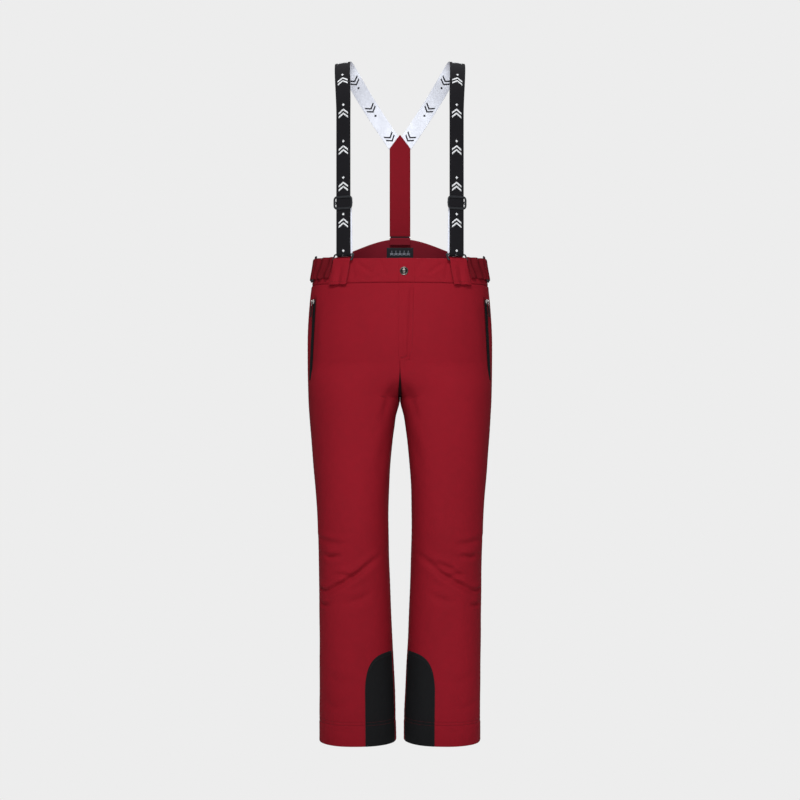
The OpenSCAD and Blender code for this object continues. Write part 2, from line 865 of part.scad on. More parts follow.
// Tri-glide slider: two bars in front of the strap and one behind it
slider_outer = [47, 30];
slider_side_w = (slider_outer[0] - slider_slot_w) / 2;
slider_bar_h = 4;
slider_front = [webbing_t / 2 + 0.35, webbing_t / 2 + 2.5];
centre_bar = [-4.6, -2.9];
centre_bar_h = 5;

module strap_slider() {
    at_strap() translate([0, strap_plane, slider_h]) {
        for (s = [-1, 1])
            translate([s * (slider_outer[0] - slider_side_w) / 2 - slider_side_w / 2, centre_bar[0],
                       -slider_outer[1] / 2])
                cube([slider_side_w, slider_front[1] - centre_bar[0], slider_outer[1]]);
        for (z = [-slider_outer[1] / 2, slider_outer[1] / 2 - slider_bar_h])
            translate([-slider_slot_w / 2 - 0.5, slider_front[0], z])
                cube([slider_slot_w + 1, slider_front[1] - slider_front[0], slider_bar_h]);
        translate([-slider_slot_w / 2 - 0.5, centre_bar[0], -centre_bar_h / 2])
            cube([slider_slot_w + 1, centre_bar[1] - centre_bar[0], centre_bar_h]);
    }
}

module strap_slider_left() {
    color(BLACK) strap_slider();
}

module strap_slider_right() {
    color(BLACK) right_side() strap_slider();
}

// Second layer of webbing: from the ring's loop up to the slider's centre bar, and round it
WRAP_STEPS = 8;
wrap_mid = strap_plane + (centre_bar[0] + centre_bar[1]) / 2;
wrap_r = (centre_bar[1] - centre_bar[0]) / 2 + 0.35 + webbing_t / 2;

function return_station(y, z, a) =
    [strap_foot + y * strap_out + z * UP, -strap_across, unit(cos(a) * strap_out + sin(a) * UP)];

module strap_return() {
    foot = [ring_back[0] - loop_r, ring_back[1] + seam_gap];
    lift = slider_h - centre_bar_h / 2;
    wrap = [for (i = [0 : WRAP_STEPS])
        let(a = 180 - 180 * i / WRAP_STEPS)
        return_station(wrap_mid + wrap_r * cos(a), slider_h + 2 + wrap_r * sin(a), a)];
    ribbon(concat([return_station(foot[0], foot[1], 180), return_station(wrap_mid - wrap_r, lift, 180)],
                  wrap,
                  [return_station(wrap_mid + wrap_r, lift, 0)]),
           -webbing_w, webbing_t);
}

module strap_return_left() {
    color(BLACK) strap_return();
}

module strap_return_right() {
    color(BLACK) right_side() strap_return();
}

// ---- Back strap ---------------------------------------------------------------------------

back_strap_t = 2.4;
back_strap_bottom_h = yoke_h + 5;
elastic_in = 0.4;
tip_shoulder_h = 1344;
tip_h = 1376;
back_foot_y = level(yoke_h, BACK) - 1.5;
tip_y = 101;
elastic_h = [yoke_h + 2.2, yoke_h + 4.8];

// Pointed strap of red fabric that leans in towards the shoulders
module back_strap() {
    lean = atan2(back_foot_y - tip_y, tip_h - back_strap_bottom_h);
    half = back_strap_w / 2;
    length = (tip_h - back_strap_bottom_h) / cos(lean);
    shoulder = (tip_shoulder_h - back_strap_bottom_h) / cos(lean);
    color(RED)
        translate([0, back_foot_y, back_strap_bottom_h])
            rotate([90 + lean, 0, 0])
                linear_extrude(back_strap_t)
                    polygon([[-half, 0], [half, 0], [half, shoulder], [0, length], [-half, shoulder]]);
}

module back_strap_elastic() {
    color(BLACK)
        translate([2 - back_strap_w / 2, back_foot_y - back_strap_t + elastic_in, elastic_h[0]])
            cube([back_strap_w - 4, back_strap_t - 2 * elastic_in, elastic_h[1] - elastic_h[0]]);
}

// Short tab that joins the back strap to the yoke's peak: a plate inside it with a ledge over its edge
module back_tab() {
    back_tab_h = 18;
    ledge_t = 1.4;
    tab_depth = band_t + 3.6;
    color(RED)
        translate([-back_strap_w / 2, back_foot_y - tab_depth - back_strap_t, yoke_h - 16]) {
            cube([back_strap_w, back_strap_t, back_tab_h]);
            translate([0, 0, back_tab_h - ledge_t])
                cube([back_strap_w, back_strap_t + tab_depth, ledge_t]);
        }
}

// ---- Side adjusters -----------------------------------------------------------------------

adjuster_h = [1029, 1077];
adjuster_mid_h = (adjuster_h[0] + adjuster_h[1]) / 2;
ring_rear_y = -27;
ring_gap_y = 11;
side_bar_r = 1.75;
side_bar_off = 4.3;
side_ring_h = 60;
sleeve_play = 0.35;
flap_end_y = 62;
flap_start = 2.8;
strap_start_y = ring_rear_y + 8;
strap_end_y = flap_end_y + 14;
strap_layer = [0.5, 2.1];
flap_layer = [5.2, 6.8];
anchor_layer = [3.4, 5.6];
anchor_y = [-72, -40.2];

rear_facing = facing_at(ring_rear_y, adjuster_mid_h);
rear_out = [cos(rear_facing), sin(rear_facing), 0];
rear_along = [-sin(rear_facing), cos(rear_facing), 0];
rear_bar = [edge_at(ring_rear_y, adjuster_mid_h), ring_rear_y, 0] + side_bar_off * rear_out;
side_lean = atan2(edge_at(ring_rear_y, adjuster_h[0]) - edge_at(ring_rear_y, adjuster_h[1]),
                  adjuster_h[1] - adjuster_h[0]);

// The adjuster's own frame: origin on the ring's rear bar at mid height, +Z up the bar,
// +Y backward along the waist, +X outward
module at_adjuster() {
    placed(rear_bar + adjuster_mid_h * UP, rear_out, rear_along, UP)
        rotate([0, -side_lean, 0]) children();
}

module adjuster_ring() {
    at_adjuster() {
        for (y = [0, -ring_gap_y])
            translate([0, y, -side_ring_h / 2]) cylinder(h = side_ring_h, r = side_bar_r, $fn = 32);
        for (z = [-side_ring_h / 2, side_ring_h / 2 - 2 * side_bar_r])
            translate([-side_bar_r, -ring_gap_y - side_bar_r, z])
                cube([2 * side_bar_r, ring_gap_y + 2 * side_bar_r, 2 * side_bar_r]);
    }
}

module adjuster_ring_left() {
    color(BLACK) adjuster_ring();
}

module adjuster_ring_right() {
    color(BLACK) right_side() adjuster_ring();
}

sleeve_r = side_bar_r + sleeve_play;
sleeve_out = sleeve_r + 1.5;
sleeve_h = 46;

// Sleeve of folded cloth round one bar of the ring
module sleeve(y) {
    at_adjuster() translate([0, y, -sleeve_h / 2])
        difference() {
            cylinder(h = sleeve_h, r = sleeve_out, $fn = 48);
            translate([0, 0, -1]) cylinder(h = sleeve_h + 2, r = sleeve_r, $fn = 48);
        }
}

// Short loop of cloth sewn to the front of the waistband, round the ring's front bar
module adjuster_anchor() {
    sleeve(-ring_gap_y);
    side_slab(anchor_y[0], anchor_y[1], adjuster_h[0] + 1, adjuster_h[1] - 1,
              anchor_layer[0], anchor_layer[1]);
}

module adjuster_anchor_left() {
    color(DARK_RED) adjuster_anchor();
}

module adjuster_anchor_right() {
    color(DARK_RED) right_side() adjuster_anchor();
}

module adjuster_strap() {
    side_slab(strap_start_y, strap_end_y, adjuster_h[0] + 1, adjuster_h[1] - 1,
              strap_layer[0], strap_layer[1], cells = 24);
}

module adjuster_strap_left() {
    color(DARK_RED) adjuster_strap();
}

module adjuster_strap_right() {
    color(DARK_RED) right_side() adjuster_strap();
}

// Free end of the strap, folded back from the ring's rear bar
module adjuster_flap() {
    sleeve(0);
    side_slab(ring_rear_y + flap_start, flap_end_y, adjuster_h[0] + 1, adjuster_h[1] - 1,
              flap_layer[0], flap_layer[1], cells = 24);
}

module adjuster_flap_left() {
    color(DARK_RED) adjuster_flap();
}

module adjuster_flap_right() {
    color(DARK_RED) right_side() adjuster_flap();
}

pad_y = [8, 50];
pad_h = [adjuster_h[0] + 6, adjuster_h[1] - 6];
pad_t = 0.9;
pad_gap = 0.3;

module hook_pad() {
    side_slab(pad_y[0], pad_y[1], pad_h[0], pad_h[1],
              flap_layer[0] - pad_gap - pad_t, flap_layer[0] - pad_gap, cells = 12);
}

module hook_pad_left() {
    color(BLACK) hook_pad();
}

module hook_pad_right() {
    color(BLACK) right_side() hook_pad();
}

module loop_pad() {
    side_slab(pad_y[0] - 4, pad_y[1] + 4, pad_h[0], pad_h[1],
              strap_layer[1] + pad_gap, strap_layer[1] + pad_gap + pad_t, cells = 12);
}

module loop_pad_left() {
    color(GREY) loop_pad();
}

module loop_pad_right() {
    color(GREY) right_side() loop_pad();
}

// ---- Nodes --------------------------------------------------------------------------------

front_panel_left();
front_panel_right();
back_panel_left();
back_panel_right();
waistband_front_left();
waistband_front_right();
waistband_back();
back_label();
scuff_guard_left();
scuff_guard_right();
gaiter_left();
gaiter_right();
gaiter_elastic_left();
gaiter_elastic_right();
pocket_bag_left();
pocket_bag_right();
pocket_zip_left();
pocket_zip_right();
pocket_zip_slider_left();
pocket_zip_slider_right();
pocket_zip_pull_left();
pocket_zip_pull_right();
fly_placket();
fly_waist_tab();
fly_shield();
fly_zip();
fly_zip_slider();
fly_zip_pull();
snap_cap();
snap_socket();
snap_stud();
snap_post();
suspender_tab_left();
suspender_tab_right();
suspender_ring_left();
suspender_ring_right();
suspender_strap_left();
suspender_strap_right();
strap_return_left();
strap_return_right();
strap_slider_left();
strap_slider_right();
back_strap();
back_strap_elastic();
back_tab();
adjuster_ring_left();
adjuster_ring_right();
adjuster_anchor_left();
adjuster_anchor_right();
adjuster_strap_left();
adjuster_strap_right();
adjuster_flap_left();
adjuster_flap_right();
hook_pad_left();
hook_pad_right();
loop_pad_left();
loop_pad_right();
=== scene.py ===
import math
import bmesh
import bpy
import numpy as np
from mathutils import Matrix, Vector
from mathutils.bvhtree import BVHTree


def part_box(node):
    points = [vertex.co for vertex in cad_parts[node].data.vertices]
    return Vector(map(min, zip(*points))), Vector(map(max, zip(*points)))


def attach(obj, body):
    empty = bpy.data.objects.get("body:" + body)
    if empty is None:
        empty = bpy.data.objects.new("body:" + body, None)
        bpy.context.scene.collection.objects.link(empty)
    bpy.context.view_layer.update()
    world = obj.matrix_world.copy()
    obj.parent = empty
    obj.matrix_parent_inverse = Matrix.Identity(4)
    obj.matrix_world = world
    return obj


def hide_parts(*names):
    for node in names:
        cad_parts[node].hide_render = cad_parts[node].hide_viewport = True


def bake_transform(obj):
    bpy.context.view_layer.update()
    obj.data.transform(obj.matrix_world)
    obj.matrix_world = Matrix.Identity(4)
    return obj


# Ski pants with braces. Metres, +Z up, the front faces -Y and the wearer's left is +X.
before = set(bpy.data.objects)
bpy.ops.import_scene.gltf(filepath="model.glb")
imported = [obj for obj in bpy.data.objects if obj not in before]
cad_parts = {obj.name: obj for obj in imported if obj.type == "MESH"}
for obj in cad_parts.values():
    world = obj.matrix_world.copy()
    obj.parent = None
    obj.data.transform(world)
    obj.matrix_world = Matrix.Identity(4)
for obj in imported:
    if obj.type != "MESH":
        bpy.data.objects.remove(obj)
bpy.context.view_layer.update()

MM = 0.001
FRONT, BACK = -1, 1
WORD = {FRONT: "front", BACK: "back"}
HANDS = ("left", "right")
UP = np.array([0.0, 0.0, 1.0])
TOWARD = np.array([0.0, -1.0, 0.0])
MIRROR = np.array([-1.0, 1.0, 1.0])


# ---- Small sums -----------------------------------------------------------------------------

def unit(v):
    v = np.asarray(v, float)
    return v / np.maximum(np.linalg.norm(v, axis=-1, keepdims=True), 1e-12)


def mix(a, b, t):
    return a + (b - a) * t


def smooth(t):
    t = np.clip(t, 0, 1)
    return t * t * (3 - 2 * t)


def bump(d, width):
    return np.exp(-(d / width) ** 2)


def run_of(path):
    """Distance along a path at each of its points."""
    return np.concatenate([[0], np.cumsum(np.linalg.norm(np.diff(path, axis=0), axis=1))])


def at_run(s, run, path):
    """Points at distances s along a path."""
    return np.stack([np.interp(s, run, path[:, k]) for k in range(3)], -1)


def spread(x, y, z):
    """Points from coordinates that broadcast together."""
    return np.stack(np.broadcast_arrays(x, y, z), -1)


def circle(sides):
    return np.linspace(0, 2 * np.pi, sides, endpoint=False)


# ---- Driving dimensions, kept as the frame has them -----------------------------------------

CROTCH = 0.766
WAIST_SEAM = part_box("waistband_front_right")[0].z
WAIST_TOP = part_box("fly_waist_tab")[1].z
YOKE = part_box("waistband_back")[1].z
SIDE_TOP = WAIST_TOP + 8 * MM
FLY_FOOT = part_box("fly_placket")[0].z
HIP_RISE = WAIST_SEAM - CROTCH
BACK_SPLIT = CROTCH + 0.53 * HIP_RISE
ROUNDNESS, CROTCH_ROUNDNESS = 2.25, 3.2
WAIST_OUT = 0.198
LEG_X = 0.095
CLOTH = 1.6 * MM

# Height, outer edge, inner edge, front depth and back depth of the body at each level
LEVELS = np.array([
    [0, 0.180, 0.010, 0.083, 0.085],
    [0.36 * CROTCH, 0.180, 0.0195, 0.078, 0.076],
    [0.63 * CROTCH, 0.1845, 0.026, 0.086, 0.080],
    [0.80 * CROTCH, 0.195, 0.0221, 0.098, 0.098],
    [0.94 * CROTCH, 0.2033, 0.0104, 0.112, 0.120],
    [CROTCH, 0.206, 0, 0.118, 0.128],
    [CROTCH + 0.48 * HIP_RISE, 0.2075, 0, 0.131, 0.137],
    [CROTCH + 0.75 * HIP_RISE, 0.2045, 0, 0.130, 0.133],
    [WAIST_SEAM, WAIST_OUT, 0, 0.124, 0.122],
    [WAIST_TOP, 0.189, 0, 0.118, 0.112],
    [YOKE + 5 * MM, 0.181, 0, 0.112, 0.105]])
OUTER, INNER = 1, 2
DEPTH = {FRONT: 3, BACK: 4}


def level(z, column):
    """One column of LEVELS at heights z, along a smooth cubic between the levels."""
    height, value = LEVELS[:, 0], LEVELS[:, column]
    slope = np.zeros_like(value)
    slope[1:-1] = (value[2:] - value[:-2]) / (height[2:] - height[:-2])
    i = np.clip(np.searchsorted(height, z, side="right") - 1, 0, len(height) - 2)
    h = height[i + 1] - height[i]
    t = (z - height[i]) / h
    return (value[i] * (1 + 2 * t) * (1 - t) ** 2 + value[i + 1] * (3 - 2 * t) * t * t
            + h * slope[i] * t * (1 - t) ** 2 - h * slope[i + 1] * t * t * (1 - t))


def hermite(p0, d0, p1, d1, t):
    """Cubic from p0 to p1 that leaves with slope d0 and arrives with slope d1."""
    return ((1 + 2 * t) * (1 - t) ** 2 * p0 + t * (1 - t) ** 2 * d0
            + t * t * (3 - 2 * t) * p1 - t * t * (1 - t) * d1)


def outline(z, u, side):
    """Points of the left half's outside: u runs from the outseam (0) to the inseam or middle (1)."""
    z, u = np.broadcast_arrays(np.asarray(z, float), np.asarray(u, float))
    xo, xi = level(z, OUTER), np.maximum(0, level(z, INNER))
    top = FLY_FOOT if side == FRONT else BACK_SPLIT
    p = smooth((top - z) / (top - CROTCH))
    inner_round = mix(ROUNDNESS, CROTCH_ROUNDNESS, smooth((z - 0.48) / 0.22))
    leg = z < CROTCH
    a = np.where(leg, (xo - xi) / 2, xo / (1 + p))
    xc = np.where(leg, (xo + xi) / 2, p * xo / (1 + p))
    last = np.arccos(-np.minimum(1, (xc / a) ** (inner_round / 2)))
    c = np.cos(u * last)
    power = 2 / np.where(c < 0, inner_round, ROUNDNESS)
    x = xc + a * np.sign(c) * np.abs(c) ** power
    y = level(z, DEPTH[side]) * np.maximum(0, np.sin(u * last)) ** power
    return np.stack([np.maximum(x, 0), side * y, z], -1)


def depth_at(x, z, side=FRONT):
    """Depth of the body's front or back, above the split."""
    share = np.minimum(1, (np.abs(x) / level(z, OUTER)) ** ROUNDNESS)
    return level(z, DEPTH[side]) * (1 - share) ** (1 / ROUNDNESS)


def side_depth(y, z):
    return np.where(np.asarray(y) < 0, level(z, DEPTH[FRONT]), level(z, DEPTH[BACK]))


def edge_at(y, z):
    """Outer edge of the body at a depth y, above the split."""
    return level(z, OUTER) * (1 - (np.abs(y) / side_depth(y, z)) ** ROUNDNESS) ** (1 / ROUNDNESS)


def facing(x, y, wide, depth):
    """Direction that a section faces at a point, as an angle from +X."""
    return np.arctan2(np.sign(y) * (np.abs(y) / depth) ** (ROUNDNESS - 1) / depth,
                      (x / wide) ** (ROUNDNESS - 1) / wide)


def facing_at(y, z):
    """Direction that the body's side faces at a depth y."""
    return facing(edge_at(y, z), y, level(z, OUTER), side_depth(y, z))


# ---- Meshes ---------------------------------------------------------------------------------

def grid_uv(grid, wrap=False):
    """UVs in metres: across the columns and up the rows."""
    if wrap:
        grid = np.concatenate([grid, grid[:, :1]], 1)
    across, along = np.zeros(grid.shape[:2]), np.zeros(grid.shape[:2])
    across[:, 1:] = np.cumsum(np.linalg.norm(np.diff(grid, axis=1), axis=2), 1)
    along[1:] = np.cumsum(np.linalg.norm(np.diff(grid, axis=0), axis=2), 0)
    return np.stack([across, along], -1)


def surface_normals(grid):
    return unit(np.cross(np.gradient(grid, axis=1), np.gradient(grid, axis=0)))


def normals_of(grid, away_from):
    """Unit normals of a grid, on the side that looks away from a point or points."""
    n = surface_normals(grid)
    return -n if np.sum(n * (grid - away_from)) < 0 else n


def merge_doubles(mesh):
    """Joins the rims that grids share, so that every piece is a closed solid."""
    b = bmesh.new()
    b.from_mesh(mesh)
    bmesh.ops.remove_doubles(b, verts=b.verts, dist=2e-6)
    bmesh.ops.dissolve_degenerate(b, dist=1e-7, edges=b.edges)
    b.to_mesh(mesh)
    b.free()


class Build:
    """Collects grids and small solids into one mesh, each face with a material index and UVs in metres."""

    def __init__(self):
        self.points, self.faces, self.mats, self.uvs = [], [], [], []
        self.count = 0

    def add(self, points, faces, mat, uvs=None):
        """faces: (F, k) indices into points; uvs: (F, k, 2)."""
        points = np.asarray(points, float).reshape(-1, 3)
        self.points.append(points)
        self.add_faces(faces, mat, uvs, self.count)
        self.count += len(points)

    def add_faces(self, faces, mat, uvs, first):
        faces = np.asarray(faces)
        self.faces.append(faces + first)
        self.mats.append(np.full(len(faces), mat) if np.isscalar(mat) else np.asarray(mat))
        self.uvs.append(np.zeros((*faces.shape, 2)) if uvs is None else uvs)

    def sheet(self, grid, mat, flip=False, wrap=False):
        """Quads over a grid of points (rows, columns, 3)."""
        rows, cols = grid.shape[:2]
        uv = grid_uv(grid, wrap)
        r, c = np.meshgrid(np.arange(rows - 1), np.arange(cols if wrap else cols - 1), indexing="ij")
        r, c = r.ravel(), c.ravel()
        d = (c + 1) % cols
        quads = np.stack([r * cols + c, r * cols + d, (r + 1) * cols + d, (r + 1) * cols + c], 1)
        coords = np.stack([uv[r, c], uv[r, c + 1], uv[r + 1, c + 1], uv[r + 1, c]], 1)
        if flip:
            quads, coords = quads[:, ::-1], coords[:, ::-1]
        self.add(grid, quads, mat if np.isscalar(mat) else np.asarray(mat)[r, c], coords)

    def shell(self, outer, inner, mats=(0, 0, 0), wrap=False):
        """Closed cloth between an outer and an inner grid, with materials for outside, inside and edges."""
        r, c = outer.shape[0] // 2, outer.shape[1] // 2
        n = np.cross(outer[r, c] - outer[r, c - 1], outer[r, c] - outer[r - 1, c])
        flip = float(n @ (outer[r, c] - inner[r, c])) < 0
        self.sheet(outer, mats[0], flip, wrap)
        self.sheet(inner, mats[1], not flip, wrap)
        for end, turned in ((0, flip), (-1, not flip)):
            self.sheet(np.stack([inner[end], outer[end]]), mats[2], turned, wrap)
        if not wrap:
            for end, turned in ((0, not flip), (-1, flip)):
                self.sheet(np.stack([inner[:, end], outer[:, end]]), mats[2], turned)
        return self

    def caps(self, grid, mat, flip=False):
        """Closes the first and last ring of a wrapped grid."""
        order = np.arange(grid.shape[1])
        for ring, turned in ((grid[0], flip), (grid[-1], not flip)):
            self.add(ring, (order if turned else order[::-1])[None], mat)

    def tube(self, path, radius, normal, mat=0, closed=False, sides=12, flat=1.0):
        """Round or oval bar along a path; flat is its thickness along normal as a share of its radius."""
        path = np.asarray(path, float)
        way = unit(np.roll(path, -1, 0) - np.roll(path, 1, 0) if closed else np.gradient(path, axis=0))
        side = unit(np.cross(way, np.broadcast_to(np.asarray(normal, float), path.shape)))
        normal = unit(np.cross(side, way))
        turn = circle(sides)
        grid = path[:, None] + radius * (np.cos(turn)[None, :, None] * side[:, None]
                                         + flat * np.sin(turn)[None, :, None] * normal[:, None])
        self.sheet(np.concatenate([grid, grid[:1]]) if closed else grid, mat, wrap=True)
        if not closed:
            self.caps(grid, mat)

    def beads(self, centres, ways, normals, length, radius, mat=0, sides=6):
        """Short rounded rods, such as stitches or zip teeth."""
        across = unit(np.cross(ways, normals))
        normals = unit(np.cross(across, ways))
        turn = circle(sides)
        ring = np.cos(turn)[None, :, None] * across[:, None] + np.sin(turn)[None, :, None] * normals[:, None]
        rings = ((-0.5, 0.35), (-0.34, 0.9), (0.34, 0.9), (0.5, 0.35))
        points = np.stack([(centres + ways * along * length)[:, None] + radius * wide * ring
                           for along, wide in rings], 1)
        k = np.arange(sides)
        ahead = (k + 1) % sides
        last = (len(rings) - 1) * sides
        quads = np.concatenate([np.stack([i + k, i + ahead, i + sides + ahead, i + sides + k], 1)
                                for i in range(0, last, sides)])
        starts = np.arange(len(centres))[:, None, None] * len(rings) * sides
        base = self.count
        self.add(points, (quads[None, :, ::-1] + starts).reshape(-1, 4), mat)
        ends = np.stack([k, k[::-1] + last])
        self.add_faces((ends[None] + starts).reshape(-1, sides), mat, None, base)

    def mirrored(self):
        """The same mesh on the other side of the middle plane."""
        other = Build()
        other.points = [p * MIRROR for p in self.points]
        other.faces = [f[:, ::-1] for f in self.faces]
        other.uvs = [u[:, ::-1] for u in self.uvs]
        other.mats, other.count = self.mats, self.count
        return other

    def polygons(self):
        return [f.tolist() for group in self.faces for f in group]

    def tree(self):
        return BVHTree.FromPolygons([Vector(p) for p in np.concatenate(self.points)], self.polygons())

    def piece(self, name, materials, slot, nodes=(), body="root", mirrored=False):
        """Turns the build into a Blender piece that rides on a body and stands for the CAD nodes."""
        if mirrored:
            return self.mirrored().piece(name, materials, slot, nodes, body)
        mesh = bpy.data.meshes.new(name)
        mesh.from_pydata(np.concatenate(self.points).tolist(), [], self.polygons())
        mesh.polygons.foreach_set("material_index", np.concatenate(self.mats).astype(np.int32))
        layer = mesh.uv_layers.new(name="UVMap")
        layer.data.foreach_set("uv", np.concatenate([u.reshape(-1) for u in self.uvs]).astype(np.float32))
        mesh.polygons.foreach_set("use_smooth", [True] * len(mesh.polygons))
        for m in materials:
            mesh.materials.append(m)
        obj = bpy.data.objects.new(name, mesh)
        bpy.context.scene.collection.objects.link(obj)
        mesh.validate()
        merge_doubles(mesh)
        if body:
            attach(obj, body)
        if nodes:
            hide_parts(*([nodes] if isinstance(nodes, str) else nodes))
        return obj


# ---- Materials ------------------------------------------------------------------------------

def shade(colour, k):
    return tuple(min(1.0, c * k) for c in colour)


class Nodes:
    """Short names for building one procedural material."""

    def __init__(self, name):
        self.material = bpy.data.materials.new(name)
        self.material.use_nodes = True
        self.tree = self.material.node_tree
        self.tree.nodes.clear()
        self.shader = self.new("BsdfPrincipled")
        self.output = self.new("OutputMaterial", Surface=self.shader.outputs[0])
        self.coords = self.new("TexCoord")

    def new(self, kind, **inputs):
        n = self.tree.nodes.new("ShaderNode" + kind)
        for name, value in inputs.items():
            self.put(n.inputs[name], value)
        return n

    def put(self, socket, value):
        if isinstance(value, bpy.types.NodeSocket):
            self.tree.links.new(value, socket)
        else:
            socket.default_value = value

    def math(self, kind, a, b=0.0, clamp=False):
        n = self.new("Math")
        n.operation, n.use_clamp = kind, clamp
        self.put(n.inputs[0], a)
        self.put(n.inputs[1], b)
        return n.outputs[0]

    def plus(self, a, b):
        return self.math("ADD", a, b)

    def times(self, a, b):
        return self.math("MULTIPLY", a, b)

    def uv(self):
        n = self.new("SeparateXYZ", Vector=self.coords.outputs["UV"])
        return n.outputs[0], n.outputs[1]

    def noise(self, scale, detail=3.0, rough=0.55, stretch=None):
        source = self.coords.outputs["Object"]
        if stretch:
            source = self.new("Mapping", Vector=source, Scale=stretch).outputs[0]
        return self.new("TexNoise", Vector=source, Scale=scale, Detail=detail, Roughness=rough).outputs["Fac"]

    def wave(self, coordinate, pitch, shift=0.0):
        """0 to 1, once per pitch along a coordinate in metres."""
        turned = self.plus(self.times(coordinate, 2 * math.pi / pitch), shift)
        return self.plus(self.times(self.math("SINE", turned), 0.5), 0.5)

    def ramp(self, fac, colour, *stops):
        """Shades of a colour, from (place, shade) stops."""
        n = self.new("ValToRGB")
        while len(n.color_ramp.elements) < len(stops):
            n.color_ramp.elements.new(0.5)
        for e, (at, k) in zip(n.color_ramp.elements, stops):
            e.position = at
            e.color = (*shade(colour, k), 1)
        self.put(n.inputs[0], fac)
        return n.outputs[0]

    def blend(self, fac, a, colour, k):
        """Mixes a shade of a colour into a."""
        n = self.new("Mix")
        n.data_type = "RGBA"
        self.put(n.inputs["Factor"], fac)
        self.put(n.inputs[6], a)
        self.put(n.inputs[7], (*shade(colour, k), 1))
        return n.outputs[2]

    def bump(self, height, distance, strength=1.0, below=None):
        n = self.new("Bump", Strength=strength, Distance=distance, Height=height)
        if below is not None:
            self.put(n.inputs["Normal"], below)
        return n.outputs[0]

    def edge_wear(self, gain=1.0):
        """Rises from 0 in the flat to its gain along worn edges."""
        sharp = self.math("SUBTRACT", self.new("NewGeometry").outputs["Pointiness"], 0.52)
        return self.times(self.math("MULTIPLY", sharp, 9.0, clamp=True), gain)

    def set(self, **values):
        names = {"colour": "Base Color", "rough": "Roughness", "metal": "Metallic", "normal": "Normal",
                 "sheen": "Sheen Weight", "sheen_rough": "Sheen Roughness", "sheen_tint": "Sheen Tint",
                 "specular": "Specular IOR Level"}
        for key, value in values.items():
            self.put(self.shader.inputs[names[key]], value)
        return self.material


def cloth_material(name, colour, pitch=0.9 * MM, weave=0.05 * MM, rough=0.84, sheen=0.05, vary=0.08,
                   wear=0.12):
    """Woven cloth: a twill weave, soft crumples, and colour that varies with wear."""
    n = Nodes(name)
    u, v = n.uv()
    warp = n.wave(n.plus(u, v), pitch)
    weft = n.wave(n.math("SUBTRACT", u, v), pitch * 0.62, 1.3)
    threads = n.plus(n.times(warp, 0.65), n.times(weft, 0.35))
    broad = n.noise(7.0, 2.0, 0.5, (1, 1, 0.45))
    cloudy, fine = n.noise(60.0, 4.0, 0.6), n.noise(900.0, 2.0, 0.7)
    tone = n.plus(n.plus(n.times(broad, 0.55), n.times(cloudy, 0.3)), n.times(fine, 0.15))
    base = n.ramp(tone, colour, (0.3, 1 - 1.6 * vary), (0.5, 1), (0.72, 1 + 1.5 * vary))
    base = n.blend(n.times(threads, 0.16), base, colour, 0.55)
    base = n.blend(n.edge_wear(wear), base, colour, 1.9)
    normal = n.bump(threads, weave, 0.8, n.bump(n.noise(150.0, 4.0, 0.6), 0.25 * MM, 0.5))
    return n.set(colour=base, rough=n.plus(n.times(cloudy, 0.14), rough - 0.07), normal=normal, sheen=sheen,
                 sheen_rough=0.45, sheen_tint=(*shade(colour, 2.5), 1), specular=0.11)


def webbing_material(name, colour, rib):
    """Elastic webbing: ribs along its length and fine picks across."""
    n = Nodes(name)
    u, v = n.uv()
    threads = n.plus(n.times(n.wave(u, 1.75 * MM), 0.6), n.times(n.wave(v, 0.9 * MM), 0.4))
    cloudy = n.noise(45.0, 3.0)
    base = n.blend(n.times(threads, rib), n.ramp(cloudy, colour, (0.3, 0.93), (0.7, 1.06)), colour, 0.5)
    normal = n.bump(n.noise(1400.0, 2.0), 0.05 * MM, 0.4, n.bump(threads, 0.12 * MM, 0.7))
    return n.set(colour=base, rough=n.plus(n.times(cloudy, 0.1), 0.76), normal=normal,
                 sheen=0.03, sheen_rough=0.4, specular=0.14)


def thread_material(name, colour):
    """Sewing thread with a twist."""
    n = Nodes(name)
    twist = n.noise(2200.0, 2.0)
    return n.set(colour=n.ramp(twist, colour, (0.3, 0.7), (0.7, 1.25)), rough=0.75,
                 normal=n.bump(twist, 0.05 * MM, 0.6), sheen=0.05, specular=0.2)


def plastic_material(name, colour, rough=0.42):
    """Moulded plastic: fine grain, faint scuffs, paler worn edges."""
    n = Nodes(name)
    scuff = n.noise(210.0, 5.0, 0.7, (1, 1, 4))
    base = n.blend(n.edge_wear(0.3), n.ramp(scuff, colour, (0.35, 0.85), (0.75, 1.35)), colour, 2.2)
    return n.set(colour=base, rough=n.plus(n.times(scuff, 0.25), rough - 0.1),
                 normal=n.bump(n.noise(1600.0, 2.0), 0.03 * MM, 0.5))


def metal_material(name, colour, rough=0.32):
    """Plated metal: brushed lines, small scratches and bright edges."""
    n = Nodes(name)
    brushed = n.noise(260.0, 4.0, 0.7, (1, 1, 9))
    base = n.blend(n.edge_wear(), n.ramp(brushed, colour, (0.3, 0.75), (0.75, 1.3)), colour, 2.2)
    return n.set(colour=base, metal=0.95, rough=n.plus(n.times(brushed, 0.2), rough - 0.1),
                 normal=n.bump(n.noise(900.0, 3.0, 0.8, (6, 1, 1)), 0.02 * MM, 0.4))


def pile_material(name, colour, scale):
    """Hook and loop tape: a dense pile."""
    n = Nodes(name)
    pile = n.noise(scale, 2.0, 0.8)
    return n.set(colour=n.ramp(pile, colour, (0.35, 0.5), (0.7, 1.8)), rough=0.9,
                 normal=n.bump(pile, 0.6 * MM, 0.9), sheen=0.4, specular=0.15)


RED, DEEP_RED = (0.250, 0.0070, 0.0160), (0.150, 0.0072, 0.0150)
INK, BLACK = (0.0105, 0.0108, 0.0125), (0.0125, 0.0130, 0.0145)
THIN = 0.02 * MM

